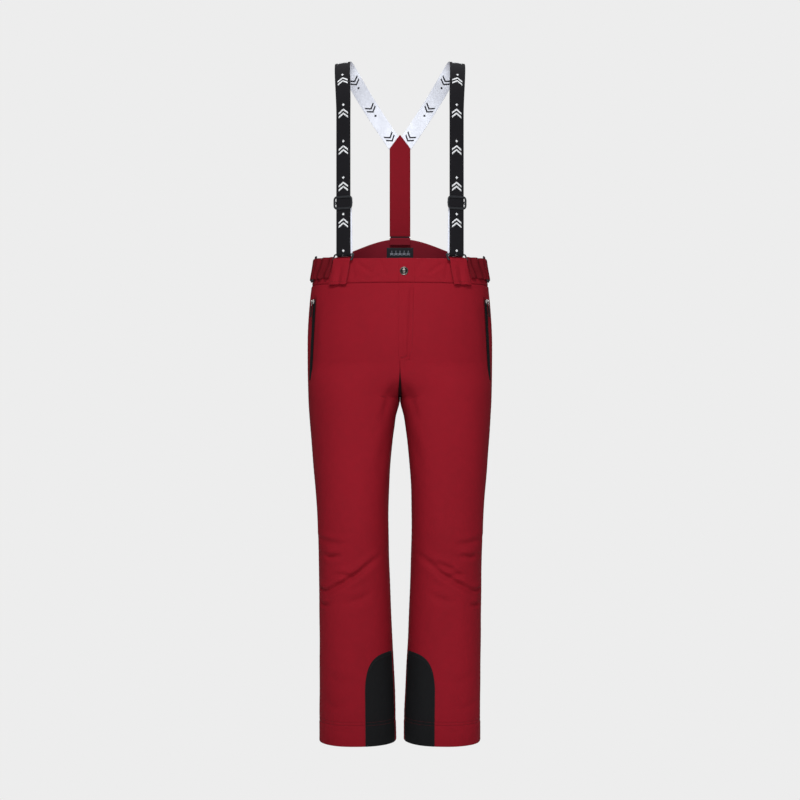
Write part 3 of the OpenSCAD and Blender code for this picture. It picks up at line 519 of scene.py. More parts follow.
shell_red = cloth_material("shell_red", RED)
# Darker copy of the shell red on the rims of the cloth: painted shade along edges and in the seams.
shell_rim_shaded = cloth_material("shell_rim_shaded", shade(RED, 0.8))
strap_red = cloth_material("strap_red", shade(RED, 0.82))
yoke_red = cloth_material("yoke_lining_red", shade(DEEP_RED, 1.15), weave=0.03 * MM)
# The adjusters' cloth is the shell red made darker: painted shade for the side of the waist and its pleats.
adjuster_shaded_red = cloth_material("adjuster_shaded_red", shade(RED, 0.49))
guard_black = cloth_material("guard_black", shade(BLACK, 0.72), pitch=1.3 * MM, weave=0.12 * MM, rough=0.86,
                             sheen=0.06, vary=0.16, wear=0.3)
lining_black = cloth_material("lining_black", (0.022, 0.018, 0.021), weave=THIN, rough=0.6, sheen=0.3)
# Near-black red of the binding in the middle seam: painted shade for the slit between the legs.
binding_painted_shade = cloth_material("binding_painted_shade", (0.030, 0.0050, 0.0065), weave=THIN, rough=0.8, sheen=0.02)
lining_red = cloth_material("lining_red", shade(DEEP_RED, 0.62), weave=THIN, rough=0.66, sheen=0.2)
tape_black = cloth_material("tape_black", shade(INK, 0.8), pitch=0.7 * MM, weave=0.06 * MM, vary=0.15)
label_satin = cloth_material("label_satin", (0.0120, 0.0150, 0.0190), pitch=0.5 * MM, weave=THIN, rough=0.5,
                             sheen=0.3)
webbing_black = webbing_material("webbing_black", (0.0098, 0.0094, 0.0118), 0.5)
webbing_white = webbing_material("webbing_white", (0.83, 0.86, 0.95), 0.08)
elastic_black = webbing_material("elastic_black", INK, 0.5)
coil_black = webbing_material("coil_black", (0.0080, 0.0080, 0.0090), 0.3)
cord_black = webbing_material("cord_black", (0.0085, 0.0085, 0.0095), 0.4)
mark_white = thread_material("mark_white", (0.78, 0.80, 0.86))
mark_black = thread_material("mark_black", (0.030, 0.032, 0.040))
thread_red = thread_material("thread_red", shade(RED, 0.42))
thread_black = thread_material("thread_black", (0.02, 0.02, 0.023))
label_mark = thread_material("label_mark", (0.34, 0.36, 0.42))
plastic_black = plastic_material("plastic_black", (0.0125, 0.0138, 0.0175), 0.5)
metal_dark = metal_material("metal_dark", (0.066, 0.060, 0.056), 0.26)
metal_slider = metal_material("metal_slider", (0.27, 0.26, 0.255), 0.36)
hook_tape = pile_material("hook_tape", (0.020, 0.020, 0.022), 1500.0)
loop_tape = pile_material("loop_tape", (0.035, 0.034, 0.036), 900.0)

SHELL = [shell_red, lining_black, shell_rim_shaded]
BAND = [shell_red, yoke_red, shell_rim_shaded]
# Adjuster cloth in the painted-shade red, with red thread
SHADED_SEWN_RED = [adjuster_shaded_red, thread_red]
WEBBING = [webbing_black, webbing_white]
# Material places of a cloth's outside, inside and edges
LAYERS = (0, 1, 2)


# ---- Folds and creases ----------------------------------------------------------------------

def waves(points, wavelength, seed, octaves=2, stretch=(1.0, 1.0, 0.5)):
    """Smooth noise between about -1 and 1 from a few sine waves in fixed directions."""
    rng = np.random.default_rng(seed)
    total = np.zeros(points.shape[:-1])
    p = points * np.array(stretch)
    for octave in range(octaves):
        size, weight = wavelength * 0.55 ** octave, 0.5 ** octave
        for _ in range(5):
            way = unit(rng.normal(size=3))
            total += weight / 2.2 * np.sin(p @ way * 2 * np.pi / size + rng.uniform(0, 2 * np.pi))
    return total / 1.5


def stroke(x, z, points, width, depth, late):
    """A crease along points (x, z): a valley with a soft ridge above it. late moves its deepest place."""
    points = np.asarray(points, float)
    starts = run_of(points)
    best, signed, place = np.full(x.shape, 1e9), np.zeros(x.shape), np.zeros(x.shape)
    for i, length in enumerate(np.linalg.norm(np.diff(points, axis=0), axis=1)):
        way = (points[i + 1] - points[i]) / length
        dx, dz = x - points[i][0], z - points[i][1]
        t = np.clip(dx * way[0] + dz * way[1], 0, length)
        ex, ez = dx - t * way[0], dz - t * way[1]
        d = np.hypot(ex, ez)
        closer = d < best
        best = np.where(closer, d, best)
        signed = np.where(closer, np.sign(way[0]) * (way[0] * ez - way[1] * ex), signed)
        place = np.where(closer, (starts[i] + t) / starts[-1], place)
    taper = np.sin(np.pi * np.clip(place, 0.02, 0.98) ** (math.log(0.5) / math.log(late))) ** 0.8
    away = np.exp(-np.maximum(0, best - np.abs(signed)) ** 2 / (2 * width) ** 2)
    shape = (0.55 * bump(signed - 1.9 * width, 1.3 * width) + 0.275 * bump(signed + 2.2 * width, 1.5 * width)
             - bump(signed, width))
    return depth * taper * away * shape * bump(np.maximum(0, best - 6 * width), width)


def stroke_unit(grid, a, b, width):
    """1 along a short line between two points (x, z), falling to 0 beside it."""
    a, b = np.array(a), np.array(b)
    p = grid[..., [0, 2]]
    t = np.clip(((p - a) @ (b - a)) / ((b - a) @ (b - a)), 0, 1)
    return bump(np.linalg.norm(p - (a + t[..., None] * (b - a)), axis=-1), width)


# Creases of a leg: width and depth in mm, the share of its length where it is deepest, points (x, z)
KNEE = [
    (5.0, 2.2, 0.4, [(0.169, 0.418), (0.158, 0.416), (0.128, 0.419)]),
    (5.0, 2.0, 0.5, [(0.144, 0.372), (0.127, 0.377), (0.105, 0.376)]),
    (6.0, 3.4, 0.6, [(0.034, 0.424), (0.060, 0.405), (0.092, 0.380), (0.132, 0.356), (0.176, 0.329)]),
    (4.0, 1.9, 0.4, [(0.182, 0.344), (0.170, 0.341), (0.156, 0.343)]),
    (4.5, 1.9, 0.4, [(0.176, 0.310), (0.167, 0.308), (0.153, 0.311)]),
    (6.0, 1.3, 0.4, [(0.180, 0.454), (0.150, 0.447), (0.118, 0.444)]),
    (8.0, 1.3, 0.5, [(0.060, 0.337), (0.090, 0.322), (0.125, 0.314)])]
LEFT_KNEE = KNEE + [(6.0, 2.6, 0.5, [(0.070, 0.407), (0.113, 0.389), (0.140, 0.372)])]
FRONT_LEG = [
    (6.0, 1.0, 0.5, [(0.014, 0.800), (0.026, 0.765), (0.040, 0.715)]),
    (10.0, 0.7, 0.4, [(0.022, 0.700), (0.036, 0.650), (0.046, 0.590)]),
    (10.0, 1.2, 0.4, [(0.165, 0.160), (0.130, 0.140), (0.095, 0.150)]),
    (7.0, 1.1, 0.4, [(0.172, 0.098), (0.140, 0.082), (0.110, 0.090)]),
    (6.0, 0.9, 0.5, [(0.150, 0.040), (0.120, 0.034), (0.088, 0.038)])]
BACK_LEG = [
    (8.0, 3.4, 0.5, [(0.172, 0.462), (0.120, 0.440), (0.060, 0.455)]),
    (7.0, 2.8, 0.45, [(0.165, 0.420), (0.110, 0.405), (0.070, 0.412)]),
    (9.0, 2.2, 0.5, [(0.150, 0.500), (0.110, 0.487), (0.055, 0.500)]),
    (8.0, 2.0, 0.5, [(0.160, 0.372), (0.110, 0.360), (0.062, 0.375)]),
    (12.0, 3.0, 0.4, [(0.025, 0.735), (0.080, 0.700), (0.140, 0.712)]),
    (10.0, 2.4, 0.4, [(0.012, 0.778), (0.070, 0.750), (0.120, 0.752)]),
    (9.0, 1.6, 0.5, [(0.170, 0.120), (0.120, 0.100), (0.075, 0.112)])]
CREASE_GAIN = 2.3
SLIT = 3.6 * MM
POCKET_TOP, POCKET_FOOT = np.array([-0.052, 0.985]), np.array([-0.041, 0.806])
HEM_STITCHES = (46 * MM, 53 * MM)


def pocket_groove(y, z):
    """The welt of the side pocket: a slot with rolled lips along a line in the side of the front panel."""
    length = np.linalg.norm(POCKET_FOOT - POCKET_TOP)
    way = (POCKET_FOOT - POCKET_TOP) / length
    dy, dz = y - POCKET_TOP[0], z - POCKET_TOP[1]
    along, across = dy * way[0] + dz * way[1], np.abs(dy * way[1] - dz * way[0])
    inside = smooth((along + 6 * MM) / (4 * MM)) * smooth((length + 5 * MM - along) / (5 * MM))
    slot = smooth((8.4 * MM - across) / (1.6 * MM))
    lips = bump(across - 10.0 * MM, 1.8 * MM)
    # the straight zip lies a little under the round hip, so the cloth beside it dips towards it
    f = np.clip(along / length, 0, 1)
    line_y, line_z = mix(POCKET_TOP[0], POCKET_FOOT[0], f), mix(POCKET_TOP[1], POCKET_FOOT[1], f)
    sag = edge_at(line_y, line_z) - mix(edge_at(*POCKET_TOP), edge_at(*POCKET_FOOT), f)
    dip = sag * smooth((34 * MM - across) / (26 * MM))
    return inside * (-2.0 * MM * slot + 0.3 * MM * lips - dip)


def relief(grid, along, total, side, mirrored):
    """How far the cloth stands out from the plain outline, at each point of a panel of the left half."""
    x, y, z = grid[..., 0], grid[..., 1], grid[..., 2]
    front = side == FRONT
    beside_fly = np.where(z > FLY_FOOT - 0.02, smooth((x - 0.030) / 0.03) if front else 1.0, 1.0)
    beside_pocket = 1 - bump(z - 0.90, 0.14) * bump(y + 0.046, 0.03) * front
    calm = beside_fly * beside_pocket * smooth((WAIST_SEAM - z) / 0.03 + 0.15)
    leg = smooth((0.80 - z) / 0.25)
    shifted = grid + np.array([3.7, 0.0, 1.9]) * mirrored
    folds = waves(shifted, 0.26, 11, 2, (1, 1, 0.42)) * mix(1.0, 2.0, leg) * MM
    folds += waves(shifted, 0.085, 23, 2, (1, 1, 0.6)) * mix(0.22, 0.55, leg) * MM
    out = folds * calm
    face = smooth(np.abs(y) / 0.03)
    for width, depth, late, points in (KNEE if mirrored else LEFT_KNEE) + FRONT_LEG if front else BACK_LEG:
        gain = mix(1.0, CREASE_GAIN, smooth((points[0][1] - 0.17) / 0.05))
        out += gain * face * stroke(x, z, points, width * MM, depth * MM, late) * beside_fly
    if front:
        # broad cup round the main knee crease, as the leg bends a little there
        out += -2.2 * MM * bump(z - 0.385, 0.05) * face * smooth((x - 0.03) / 0.05)
        out += 1.6 * MM * bump(z - 0.475, 0.05) * face
        out += pocket_groove(y, z)
    # hem: two stitch lines that pinch the turned cloth
    for line in HEM_STITCHES:
        out -= 0.45 * MM * bump(z - line, 1.8 * MM)
    ripple = np.sin(2 * np.pi * along / 11e-3 + 2.2 * np.sin(along / 21e-3))
    out += 0.22 * MM * ripple * bump(z - 0.05, 0.014) + 0.5 * MM * smooth((44 * MM - z) / (6 * MM))
    out -= 0.4 * MM * bump(WAIST_SEAM - 5.5 * MM - z, 1.3 * MM)
    # seams: the panel's edges turn in and the cloth puffs beside them
    for d, deep in ((along, 1.3), (total - along, 0.8), (WAIST_SEAM - z, 1.3)):
        out += -deep * MM * bump(d, 1.7 * MM) + 0.35 * MM * bump(d - 5 * MM, 3 * MM)
    pucker = np.sin(2 * np.pi * z / 13e-3 + 2 * np.sin(z / 31e-3))
    out += 0.16 * MM * pucker * (bump(along, 7 * MM) + bump(total - along, 7 * MM))
    return out


# ---- Panels ---------------------------------------------------------------------------------

EDGE_STEPS = np.array([0, 0.7, 1.5, 2.6, 4.2]) * MM


def rows_between(low, high, step, fine=()):
    """Heights with small steps at both ends and round the fine places."""
    rows = np.concatenate([low + EDGE_STEPS, high - EDGE_STEPS[::-1],
                           np.arange(low + 7 * MM, high - 6 * MM, step)])
    for centre, reach in fine:
        rows = rows[(rows < centre - reach) | (rows > centre + reach)]
        rows = np.concatenate([rows, np.arange(centre - reach, centre + reach + 1e-9, 1.2 * MM)])
    return np.unique(np.round(rows, 6))


def section_grid(rows, side, fine=None, step=4.2 * MM):
    """Grid of the left half's surface: rows of heights, columns at even distances along each section."""
    dense = outline(rows[:, None], np.linspace(0, 1, 500)[None, :], side)
    run = grid_uv(dense)[..., 0]
    total = run[:, -1]
    fixed = list(EDGE_STEPS)
    if fine:
        fixed += list(np.arange(7 * MM, fine[0], step)) + list(np.arange(fine[0], fine[1], 1.4 * MM))
    cells = int((np.median(total) - fixed[-1]) / step)
    grid, along = [], []
    for i, length in enumerate(total):
        middle = np.linspace(fixed[-1], length - EDGE_STEPS[-1], cells + 1)[1:]
        along.append(np.concatenate([fixed, middle, length - EDGE_STEPS[::-1][1:]]))
        grid.append(at_run(along[i], run[i], dense[i]))
    return np.array(grid), np.array(along), total[:, None]


def leg_axis(grid):
    """Middle of the leg or of the body at each row of a grid, for telling outside from inside."""
    return grid.mean(1, keepdims=True) * np.array([1, 0, 1])


def leg_panel(side, mirrored):
    """Outer grid and normals of one panel of the left half."""
    rows = rows_between(0.0, WAIST_SEAM - 0.2 * MM, 4.0 * MM, [(0.0495, 9 * MM)])
    grid, along, total = section_grid(rows, side, (30 * MM, 66 * MM) if side == FRONT else None)
    outer = grid + relief(grid, along, total, side, mirrored)[..., None] * normals_of(grid, leg_axis(grid))
    z = outer[:, :, 2]
    open_by = SLIT * smooth((FLY_FOOT - 8 * MM - z) / 0.065) * smooth((z - CROTCH + 0.02) / 0.02)
    outer[:, :, 0] = np.maximum(outer[:, :, 0], 0.0001 + open_by * (side == FRONT))
    return outer, normals_of(outer, leg_axis(outer))


panels, trees = {}, {}


def make_panels():
    """The four leg and seat panels; the front left one ends at the fly flap's stitching."""
    for side, word in WORD.items():
        for mirrored, hand in enumerate(HANDS):
            outer, normal = leg_panel(side, mirrored)
            inner = outer - CLOTH * normal
            inner[:, :, 0] = np.maximum(inner[:, :, 0], 0.0001)
            grids = stop_at_fly(outer, inner) if side == FRONT and not mirrored else (outer, inner)
            build = Build().shell(*grids, LAYERS)
            if mirrored:
                build = build.mirrored()
            panels[side, hand] = (outer * (MIRROR if mirrored else 1), normal * (MIRROR if mirrored else 1))
            trees[side, hand] = build.tree()
            name = f"{word}_panel_{hand}"
            build.piece(f"{name}_cloth", SHELL, "shell_fabric", name)


FLY_LINE = 29.0 * MM
SQUEEZED = 12


def stop_at_fly(outer, inner):
    """Grids of the front left panel, which ends at the J stitching and, below the fly, at the middle."""
    foot = int(np.searchsorted(outer[:, 0, 2], FLY_FOOT))
    outer, inner = outer.copy(), inner.copy()
    place = np.arange(outer.shape[1])
    first = int(np.max(np.sum(outer[foot:, :, 0] > FLY_LINE, 1))) - SQUEEZED
    for grid in (outer, inner):
        for row in grid[foot + 1:]:
            last = np.interp(-FLY_LINE, -row[:, 0], place)
            squeezed = np.interp(place, [first, len(row) - 1], [first, last])
            row[:] = at_run(np.where(place < first, np.minimum(place, last), squeezed), place, row)
    return outer, inner


# ---- Stitching ------------------------------------------------------------------------------

def resample(path, pitch):
    path = np.asarray(path, float)
    run = run_of(path)
    return at_run(np.arange(pitch / 2, run[-1], pitch), run, path)


def stitch(build, tree, path, outward, mat=0, pitch=3.4 * MM, length=2.7 * MM, radius=0.27 * MM):
    """Lays stitches along a path on the nearest cloth; outward is a way or gives the way at a point."""
    found, faces = [], []
    for p in resample(path, pitch):
        hit, n = (np.array(v) for v in tree.find_nearest(Vector(p))[:2])
        found.append(hit)
        faces.append(-n if n @ (outward(p) if callable(outward) else outward) < 0 else n)
    found, faces = np.array(found), np.array(faces)
    build.beads(found + faces * radius * 0.5, unit(np.gradient(found, axis=0)), faces, length, radius, mat)


def level_way(p):
    return np.array([p[0], p[1], 0])


def from_leg(p):
    return np.array([p[0] - math.copysign(LEG_X, p[0]) if p[2] < CROTCH else p[0], p[1], 0.0])


def make_hem_stitching():
    for hand in HANDS:
        build = Build()
        for side in WORD:
            grid = panels[side, hand][0]
            for line in HEM_STITCHES:
                path = grid[int(np.argmin(np.abs(grid[:, 5, 2] - line))), 2:-2]
                stitch(build, trees[side, hand], path[np.abs(path[:, 0]) > 0.074], from_leg)
        build.piece(f"hem_stitching_{hand}", [thread_red], "shell_fabric")


# ---- Scuff guards ---------------------------------------------------------------------------

GUARD_TOP, GUARD_EDGE, GUARD_ROUNDNESS = 0.203, 0.105, 2.8
HEM_IN, GUARD_X = 0.010, 0.076


def on_grid(grid, r, c):
    """Point of a grid at fractional row and column places."""
    r, c = np.clip(r, 0, grid.shape[0] - 1.001), np.clip(c, 0, grid.shape[1] - 1.001)
    i, j = r.astype(int), c.astype(int)
    a, b = (r - i)[..., None], (c - j)[..., None]
    return mix(mix(grid[i, j], grid[i, j + 1], b), mix(grid[i + 1, j], grid[i + 1, j + 1], b), a)


def guard_half(hand, side, rows=56, cols=30):
    """Points and normals of the guard over one panel, from its outer edge to the inseam."""
    grid, normal = panels[side, hand]
    turns = np.linspace(0, math.pi / 2, cols)
    height = mix(GUARD_EDGE, GUARD_TOP, (1 - np.cos(turns) ** GUARD_ROUNDNESS) ** (1 / GUARD_ROUNDNESS))
    z = np.clip(height[None, :] * np.linspace(0, 1, rows)[:, None], 0.0002, None)
    row_at = np.interp(z, grid[:, 8, 2], np.arange(len(grid)))
    hem = np.abs(grid[0, :, 0])
    first = int(np.argmax(hem < LEG_X)) - 4
    col_at = np.interp(-mix(HEM_IN, GUARD_X, np.cos(turns)), -hem[first:], np.arange(first, len(hem)))
    col_at[-1] = len(hem) - 1
    col_at = np.broadcast_to(col_at, z.shape)
    return on_grid(grid, row_at, col_at), unit(on_grid(normal, row_at, col_at))


def make_guards():
    for hand, sign in zip(HANDS, (1, -1)):
        front, back = (guard_half(hand, side) for side in WORD)
        points, normal = (np.concatenate([a, b[:, ::-1][:, 1:]], 1) for a, b in zip(front, back))
        middle = front[0].shape[1] - 1
        before, after = normal[:, middle - 4], normal[:, middle + 4]
        for k in range(-3, 4):
            normal[:, middle + k] = unit(mix(before, after, smooth((k + 3) / 6)) + np.array([-sign, 0, 0]))
        rows, cols = points.shape[:2]
        r, c = np.linspace(0, 1, rows)[:, None], np.linspace(0, 1, cols)[None, :]
        edge = np.minimum(np.minimum(c, 1 - c) * 0.28, (1 - r) * 0.16)
        thick = mix(0.5 * MM, 1.25 * MM, smooth(edge / (3 * MM)))
        thick += 0.25 * MM * waves(points, 0.05, 5, 3) * smooth(edge / (8 * MM))
        thick -= 0.4 * MM * bump(edge - 3.4 * MM, 1.0 * MM)
        outer = points + normal * thick[..., None]
        build = Build().shell(outer, points + normal * 0.06 * MM)
        build.piece(f"scuff_guard_{hand}_cloth", [guard_black], "scuff_fabric", f"scuff_guard_{hand}")
        tree, sewn = build.tree(), Build()
        thread = {"length": 2.5 * MM, "radius": 0.26 * MM}
        path = np.concatenate([outer[:-3, 2], outer[-3, 2:-2], outer[:-3, -3][::-1]])
        stitch(sewn, tree, path, from_leg, pitch=3.2 * MM, **thread)
        for line in HEM_STITCHES:
            path = outer[int(np.argmin(np.abs(outer[:, cols // 2, 2] - line))), 2:-2].copy()
            path[:, 2] = line
            stitch(sewn, tree, path, from_leg, mat=1, **thread)
        sewn.piece(f"guard_stitching_{hand}", [thread_black, thread_red], "scuff_fabric")


# ---- Waistband ------------------------------------------------------------------------------

BAND_T = 3.0 * MM
BAND_ROWS = 18
# Rows round the band's section: share of the height, and how deep the row lies inside the outline
BAND_V = np.concatenate([np.linspace(0.004, 0.955, BAND_ROWS), [0.985, 0.996, 1.0, 0.996, 0.985],
                         np.linspace(0.955, 0.004, BAND_ROWS)])
BAND_DEEP = np.concatenate([np.zeros(BAND_ROWS), np.array([0.25, 0.75, 1.5, 2.25, 2.75]) * MM,
                            np.full(BAND_ROWS, BAND_T)])
# Soft creases of the waistband's front: from, to (x, z), width and depth
BAND_CREASES = [
    ((0.090, 1.058), (0.064, 1.040), 4.5 * MM, 2.2 * MM),
    ((0.085, 1.046), (0.070, 1.036), 3.2 * MM, -1.2 * MM),
    ((0.045, 1.066), (0.034, 1.040), 4.5 * MM, 1.5 * MM),
    ((0.074, 1.026), (0.048, 1.030), 3.5 * MM, 1.2 * MM),
    ((0.100, 1.030), (0.104, 1.060), 4.0 * MM, 1.6 * MM)]


def front_top(x):
    return WAIST_TOP + 8 * MM * (np.abs(x) / WAIST_OUT) ** 4


def back_top(x):
    return SIDE_TOP + (YOKE - SIDE_TOP) * (1 - (x / WAIST_OUT) ** 2) ** 2


def band_grid(side, until=None, step=4.0 * MM):
    """Rows round the waistband of the left half, their normals, crown heights, and distances along it."""
    u = np.linspace(0, 1, 500)
    guide = outline(np.full(500, SIDE_TOP), u, side)
    run = run_of(guide)
    end = run[-1] if until is None else np.interp(-until, -guide[:, 0], run)
    cells = int((end - 2 * EDGE_STEPS[-1]) / step)
    close = end - EDGE_STEPS[::-1][1:] if side == FRONT else [end]
    s = np.concatenate([EDGE_STEPS, np.linspace(EDGE_STEPS[-1], end - EDGE_STEPS[-1], cells + 1)[1:], close])
    x = np.interp(s, run, guide[:, 0])
    low = WAIST_SEAM + 0.15 * MM
    top = front_top(x) if side == FRONT else back_top(x)
    grid = outline(low + BAND_V[:, None] * (top - low)[None, :], np.interp(s, run, u)[None, :], side)
    n = normals_of(grid[:BAND_ROWS], np.array([0, 0, 1.04]))
    normal = np.concatenate([n, np.repeat(n[-1:], 5, 0), n[::-1]])
    v = BAND_V[:BAND_ROWS]
    crown = 0.7 * MM * np.sin(np.pi * v) ** 0.6 - 0.5 * MM - 0.7 * MM * bump(v - 0.004, 0.03)
    lift = np.zeros(grid.shape[:2]) - BAND_DEEP[:, None]
    lift[:BAND_ROWS] += crown[:, None] * (1.0 if side == FRONT else 0.7)
    return grid, normal, lift, s, end


def make_waistband():
    for hand, until, shift in (("left", FLY_LINE, 0), ("right", None, 2.3)):
        grid, normal, lift, s, end = band_grid(FRONT, until)
        face = grid[:BAND_ROWS]
        soft = waves(face + shift, 0.09, 31, 2, (1, 1, 1)) * 0.5 * MM
        for start, finish, width, depth in BAND_CREASES:
            soft -= depth * stroke_unit(face, start, finish, width)
        lift[:BAND_ROWS] += soft * smooth(s / 0.02)
        for d in (s, end - s):
            lift[:BAND_ROWS] -= 1.0 * MM * bump(d, 1.6 * MM)
        points = grid + normal * lift[..., None]
        points[..., 0] = np.maximum(points[..., 0], 0.0001)
        build = closed_strip(points)
        name = f"waistband_front_{hand}"
        build.piece(f"{name}_cloth", BAND, "shell_fabric", name, mirrored=hand == "right")


def closed_strip(points):
    """Solid whose rows run once round the waistband's section: the outside up to its top, then the inside."""
    build = Build()
    loop = np.concatenate([points, points[:1]])
    n = np.cross(loop[1, 6] - loop[1, 5], loop[2, 5] - loop[1, 5])
    flip = float(n @ (loop[1, 5] - points.mean(0)[5])) < 0
    mat = np.zeros((len(loop) - 1, points.shape[1] - 1), int)
    mat[BAND_ROWS + 2:] = 1
    mat[-1] = 2
    build.sheet(loop, mat, flip)
    half = len(points) // 2
    for column, turned in ((0, not flip), (-1, flip)):
        ring = points[:, column]
        build.sheet(np.stack([ring[:half], ring[::-1][:half]]), 2, turned)
    return build


def make_yoke():
    """The back of the waistband rises to a peak; it crosses the middle in one piece."""
    grid, normal, lift, s, _ = band_grid(BACK)
    face, inside = slice(0, BAND_ROWS), slice(BAND_ROWS + 5, None)
    lift[face] += waves(grid[face], 0.12, 41, 2, (1, 1, 1)) * 0.6 * MM * smooth(s / 0.02)
    seam = bump(grid[face, :, 2] - (WAIST_TOP - 4 * MM), 1.6 * MM)
    lift[face] -= 1.0 * MM * bump(s, 1.6 * MM) + 0.8 * MM * seam
    lift[inside] += 0.4 * MM * waves(grid[inside], 0.1, 47, 2, (1, 1, 1))
    points = grid + normal * lift[..., None]
    other = points[:, ::-1][:, 1:] * MIRROR
    points[:, -1, 0] = 0
    build = closed_strip(np.concatenate([points, other], 1))
    build.piece("waistband_back_cloth", BAND, "shell_fabric", "waistband_back")
    tree, sewn = build.tree(), Build()
    x = np.linspace(-0.185, 0.185, 240)
    z = back_top(x) - 5.0 * MM
    path = np.stack([x, depth_at(x, z, BACK), z], -1)
    stitch(sewn, tree, path, level_way)
    stitch(sewn, tree, path - np.array([0, 2 * BAND_T, 0]), lambda p: -level_way(p))
    sewn.piece("yoke_stitching", [thread_red], "shell_fabric")


# ---- Padded cloth and small solids ----------------------------------------------------------

def edge_distance(grid):
    """Distance of each point of a grid from the nearest rim of the grid."""
    across, along = np.moveaxis(grid_uv(grid), -1, 0)
    return np.minimum(np.minimum(across, across[:, -1:] - across), np.minimum(along, along[-1:] - along))


def padded(grid, normal, low, high, roll=1.4 * MM):
    """Closed cloth layer between two heights over a surface, with rolled rims; also gives its outer grid."""
    low, high = (np.broadcast_to(np.asarray(a, float), grid.shape[:2]) for a in (low, high))
    turn = bump(edge_distance(grid), roll) * 0.42 * (high - low)
    outer = grid + normal * (high - turn)[..., None]
    return Build().shell(outer, grid + normal * (low + turn)[..., None]), outer


def crowded(low, high, cells, edge=1.2 * MM):
    """Places between two ends, with a few close to both ends."""
    close = np.array([0.25, 0.6, 1.0]) * edge / abs(high - low)
    t = np.unique(np.concatenate([np.linspace(0, 1, cells + 1), close, 1 - close]))
    return low + (high - low) * t


class Place:
    """A local frame: points and ways are given as (across, out, up)."""

    def __init__(self, origin, across, out, up):
        self.origin = np.asarray(origin, float)
        self.axes = np.array([across, out, up], float)
        self.across, self.out, self.up = self.axes

    def __call__(self, points):
        return self.origin + np.asarray(points, float) @ self.axes


def plate(build, place, points, low, high, bevel=0.25 * MM, mat=0):
    """Flat solid with bevelled rims: an outline of (across, up) points, between two heights outward."""
    points = np.asarray(points, float)
    x, z = points.T
    both_ways = unit(np.roll(points, -1, 0) - points) + unit(points - np.roll(points, 1, 0))
    area = np.sum(x * np.roll(z, -1) - np.roll(x, -1) * z)
    inward = unit(both_ways[:, ::-1] * np.array([-1, 1])) * np.sign(area)
    rings = []
    for height, inset in ((low, bevel), (low + bevel, 0), (high - bevel, 0), (high, bevel)):
        x, z = (points + inward * inset).T
        rings.append(place(spread(x, height, z)))
    grid = np.stack(rings)
    build.sheet(grid, mat, area > 0, wrap=True)
    build.caps(grid, mat, area > 0)


def rounded(width, height, corner, centre=(0.0, 0.0), steps=5):
    """Outline of a rounded rectangle, as (across, up) points."""
    points = []
    for k, (sx, sz) in enumerate(((1, 1), (-1, 1), (-1, -1), (1, -1))):
        for a in np.linspace(0, math.pi / 2, steps) + k * math.pi / 2:
            points.append((centre[0] + sx * (width / 2 - corner) + corner * math.cos(a),
                           centre[1] + sz * (height / 2 - corner) + corner * math.sin(a)))
    return np.array(points)


# ---- Fly ------------------------------------------------------------------------------------

FLAP_EDGE = -3.0 * MM
FLAP_HINGE = FLY_LINE + 1.5 * MM
J_X, J_CORNER = 27.2 * MM, 24 * MM


def fly_surface(x, z, side=FRONT, away=0.95):
    grid = spread(x[None, :], side * depth_at(x[None, :], z[:, None], side), z[:, None])
    return grid, normals_of(grid, np.array([0, 0, away]))


def flap_height(x):
    """How far the flap's face stands off the body: flush at its hinge, a little proud at its free edge."""
    stand, lip = smooth((FLAP_HINGE - x) / (14 * MM)), smooth((8 * MM - x) / (10 * MM))
    return 0.15 * MM + 1.0 * MM * stand + 0.5 * MM * lip


def flap_layer(x, z, face, thick, roll):
    """A layer of the flap: rolled at its free edge and ends, feathered flat at its hinge."""
    grid, normal = fly_surface(x, z)
    feather = smooth((FLAP_HINGE - x) / (5 * MM))[None, :]
    across, along = np.moveaxis(grid_uv(grid), -1, 0)
    rim = np.minimum(across[:, -1:] - across, np.minimum(along, along[-1:] - along))
    thick = mix(0.5 * MM, thick, feather)
    turn = 0.42 * bump(rim, roll) * feather * thick
    return Build().shell(grid + normal * (face - turn)[..., None],
                         grid + normal * (face - thick + turn)[..., None], LAYERS)


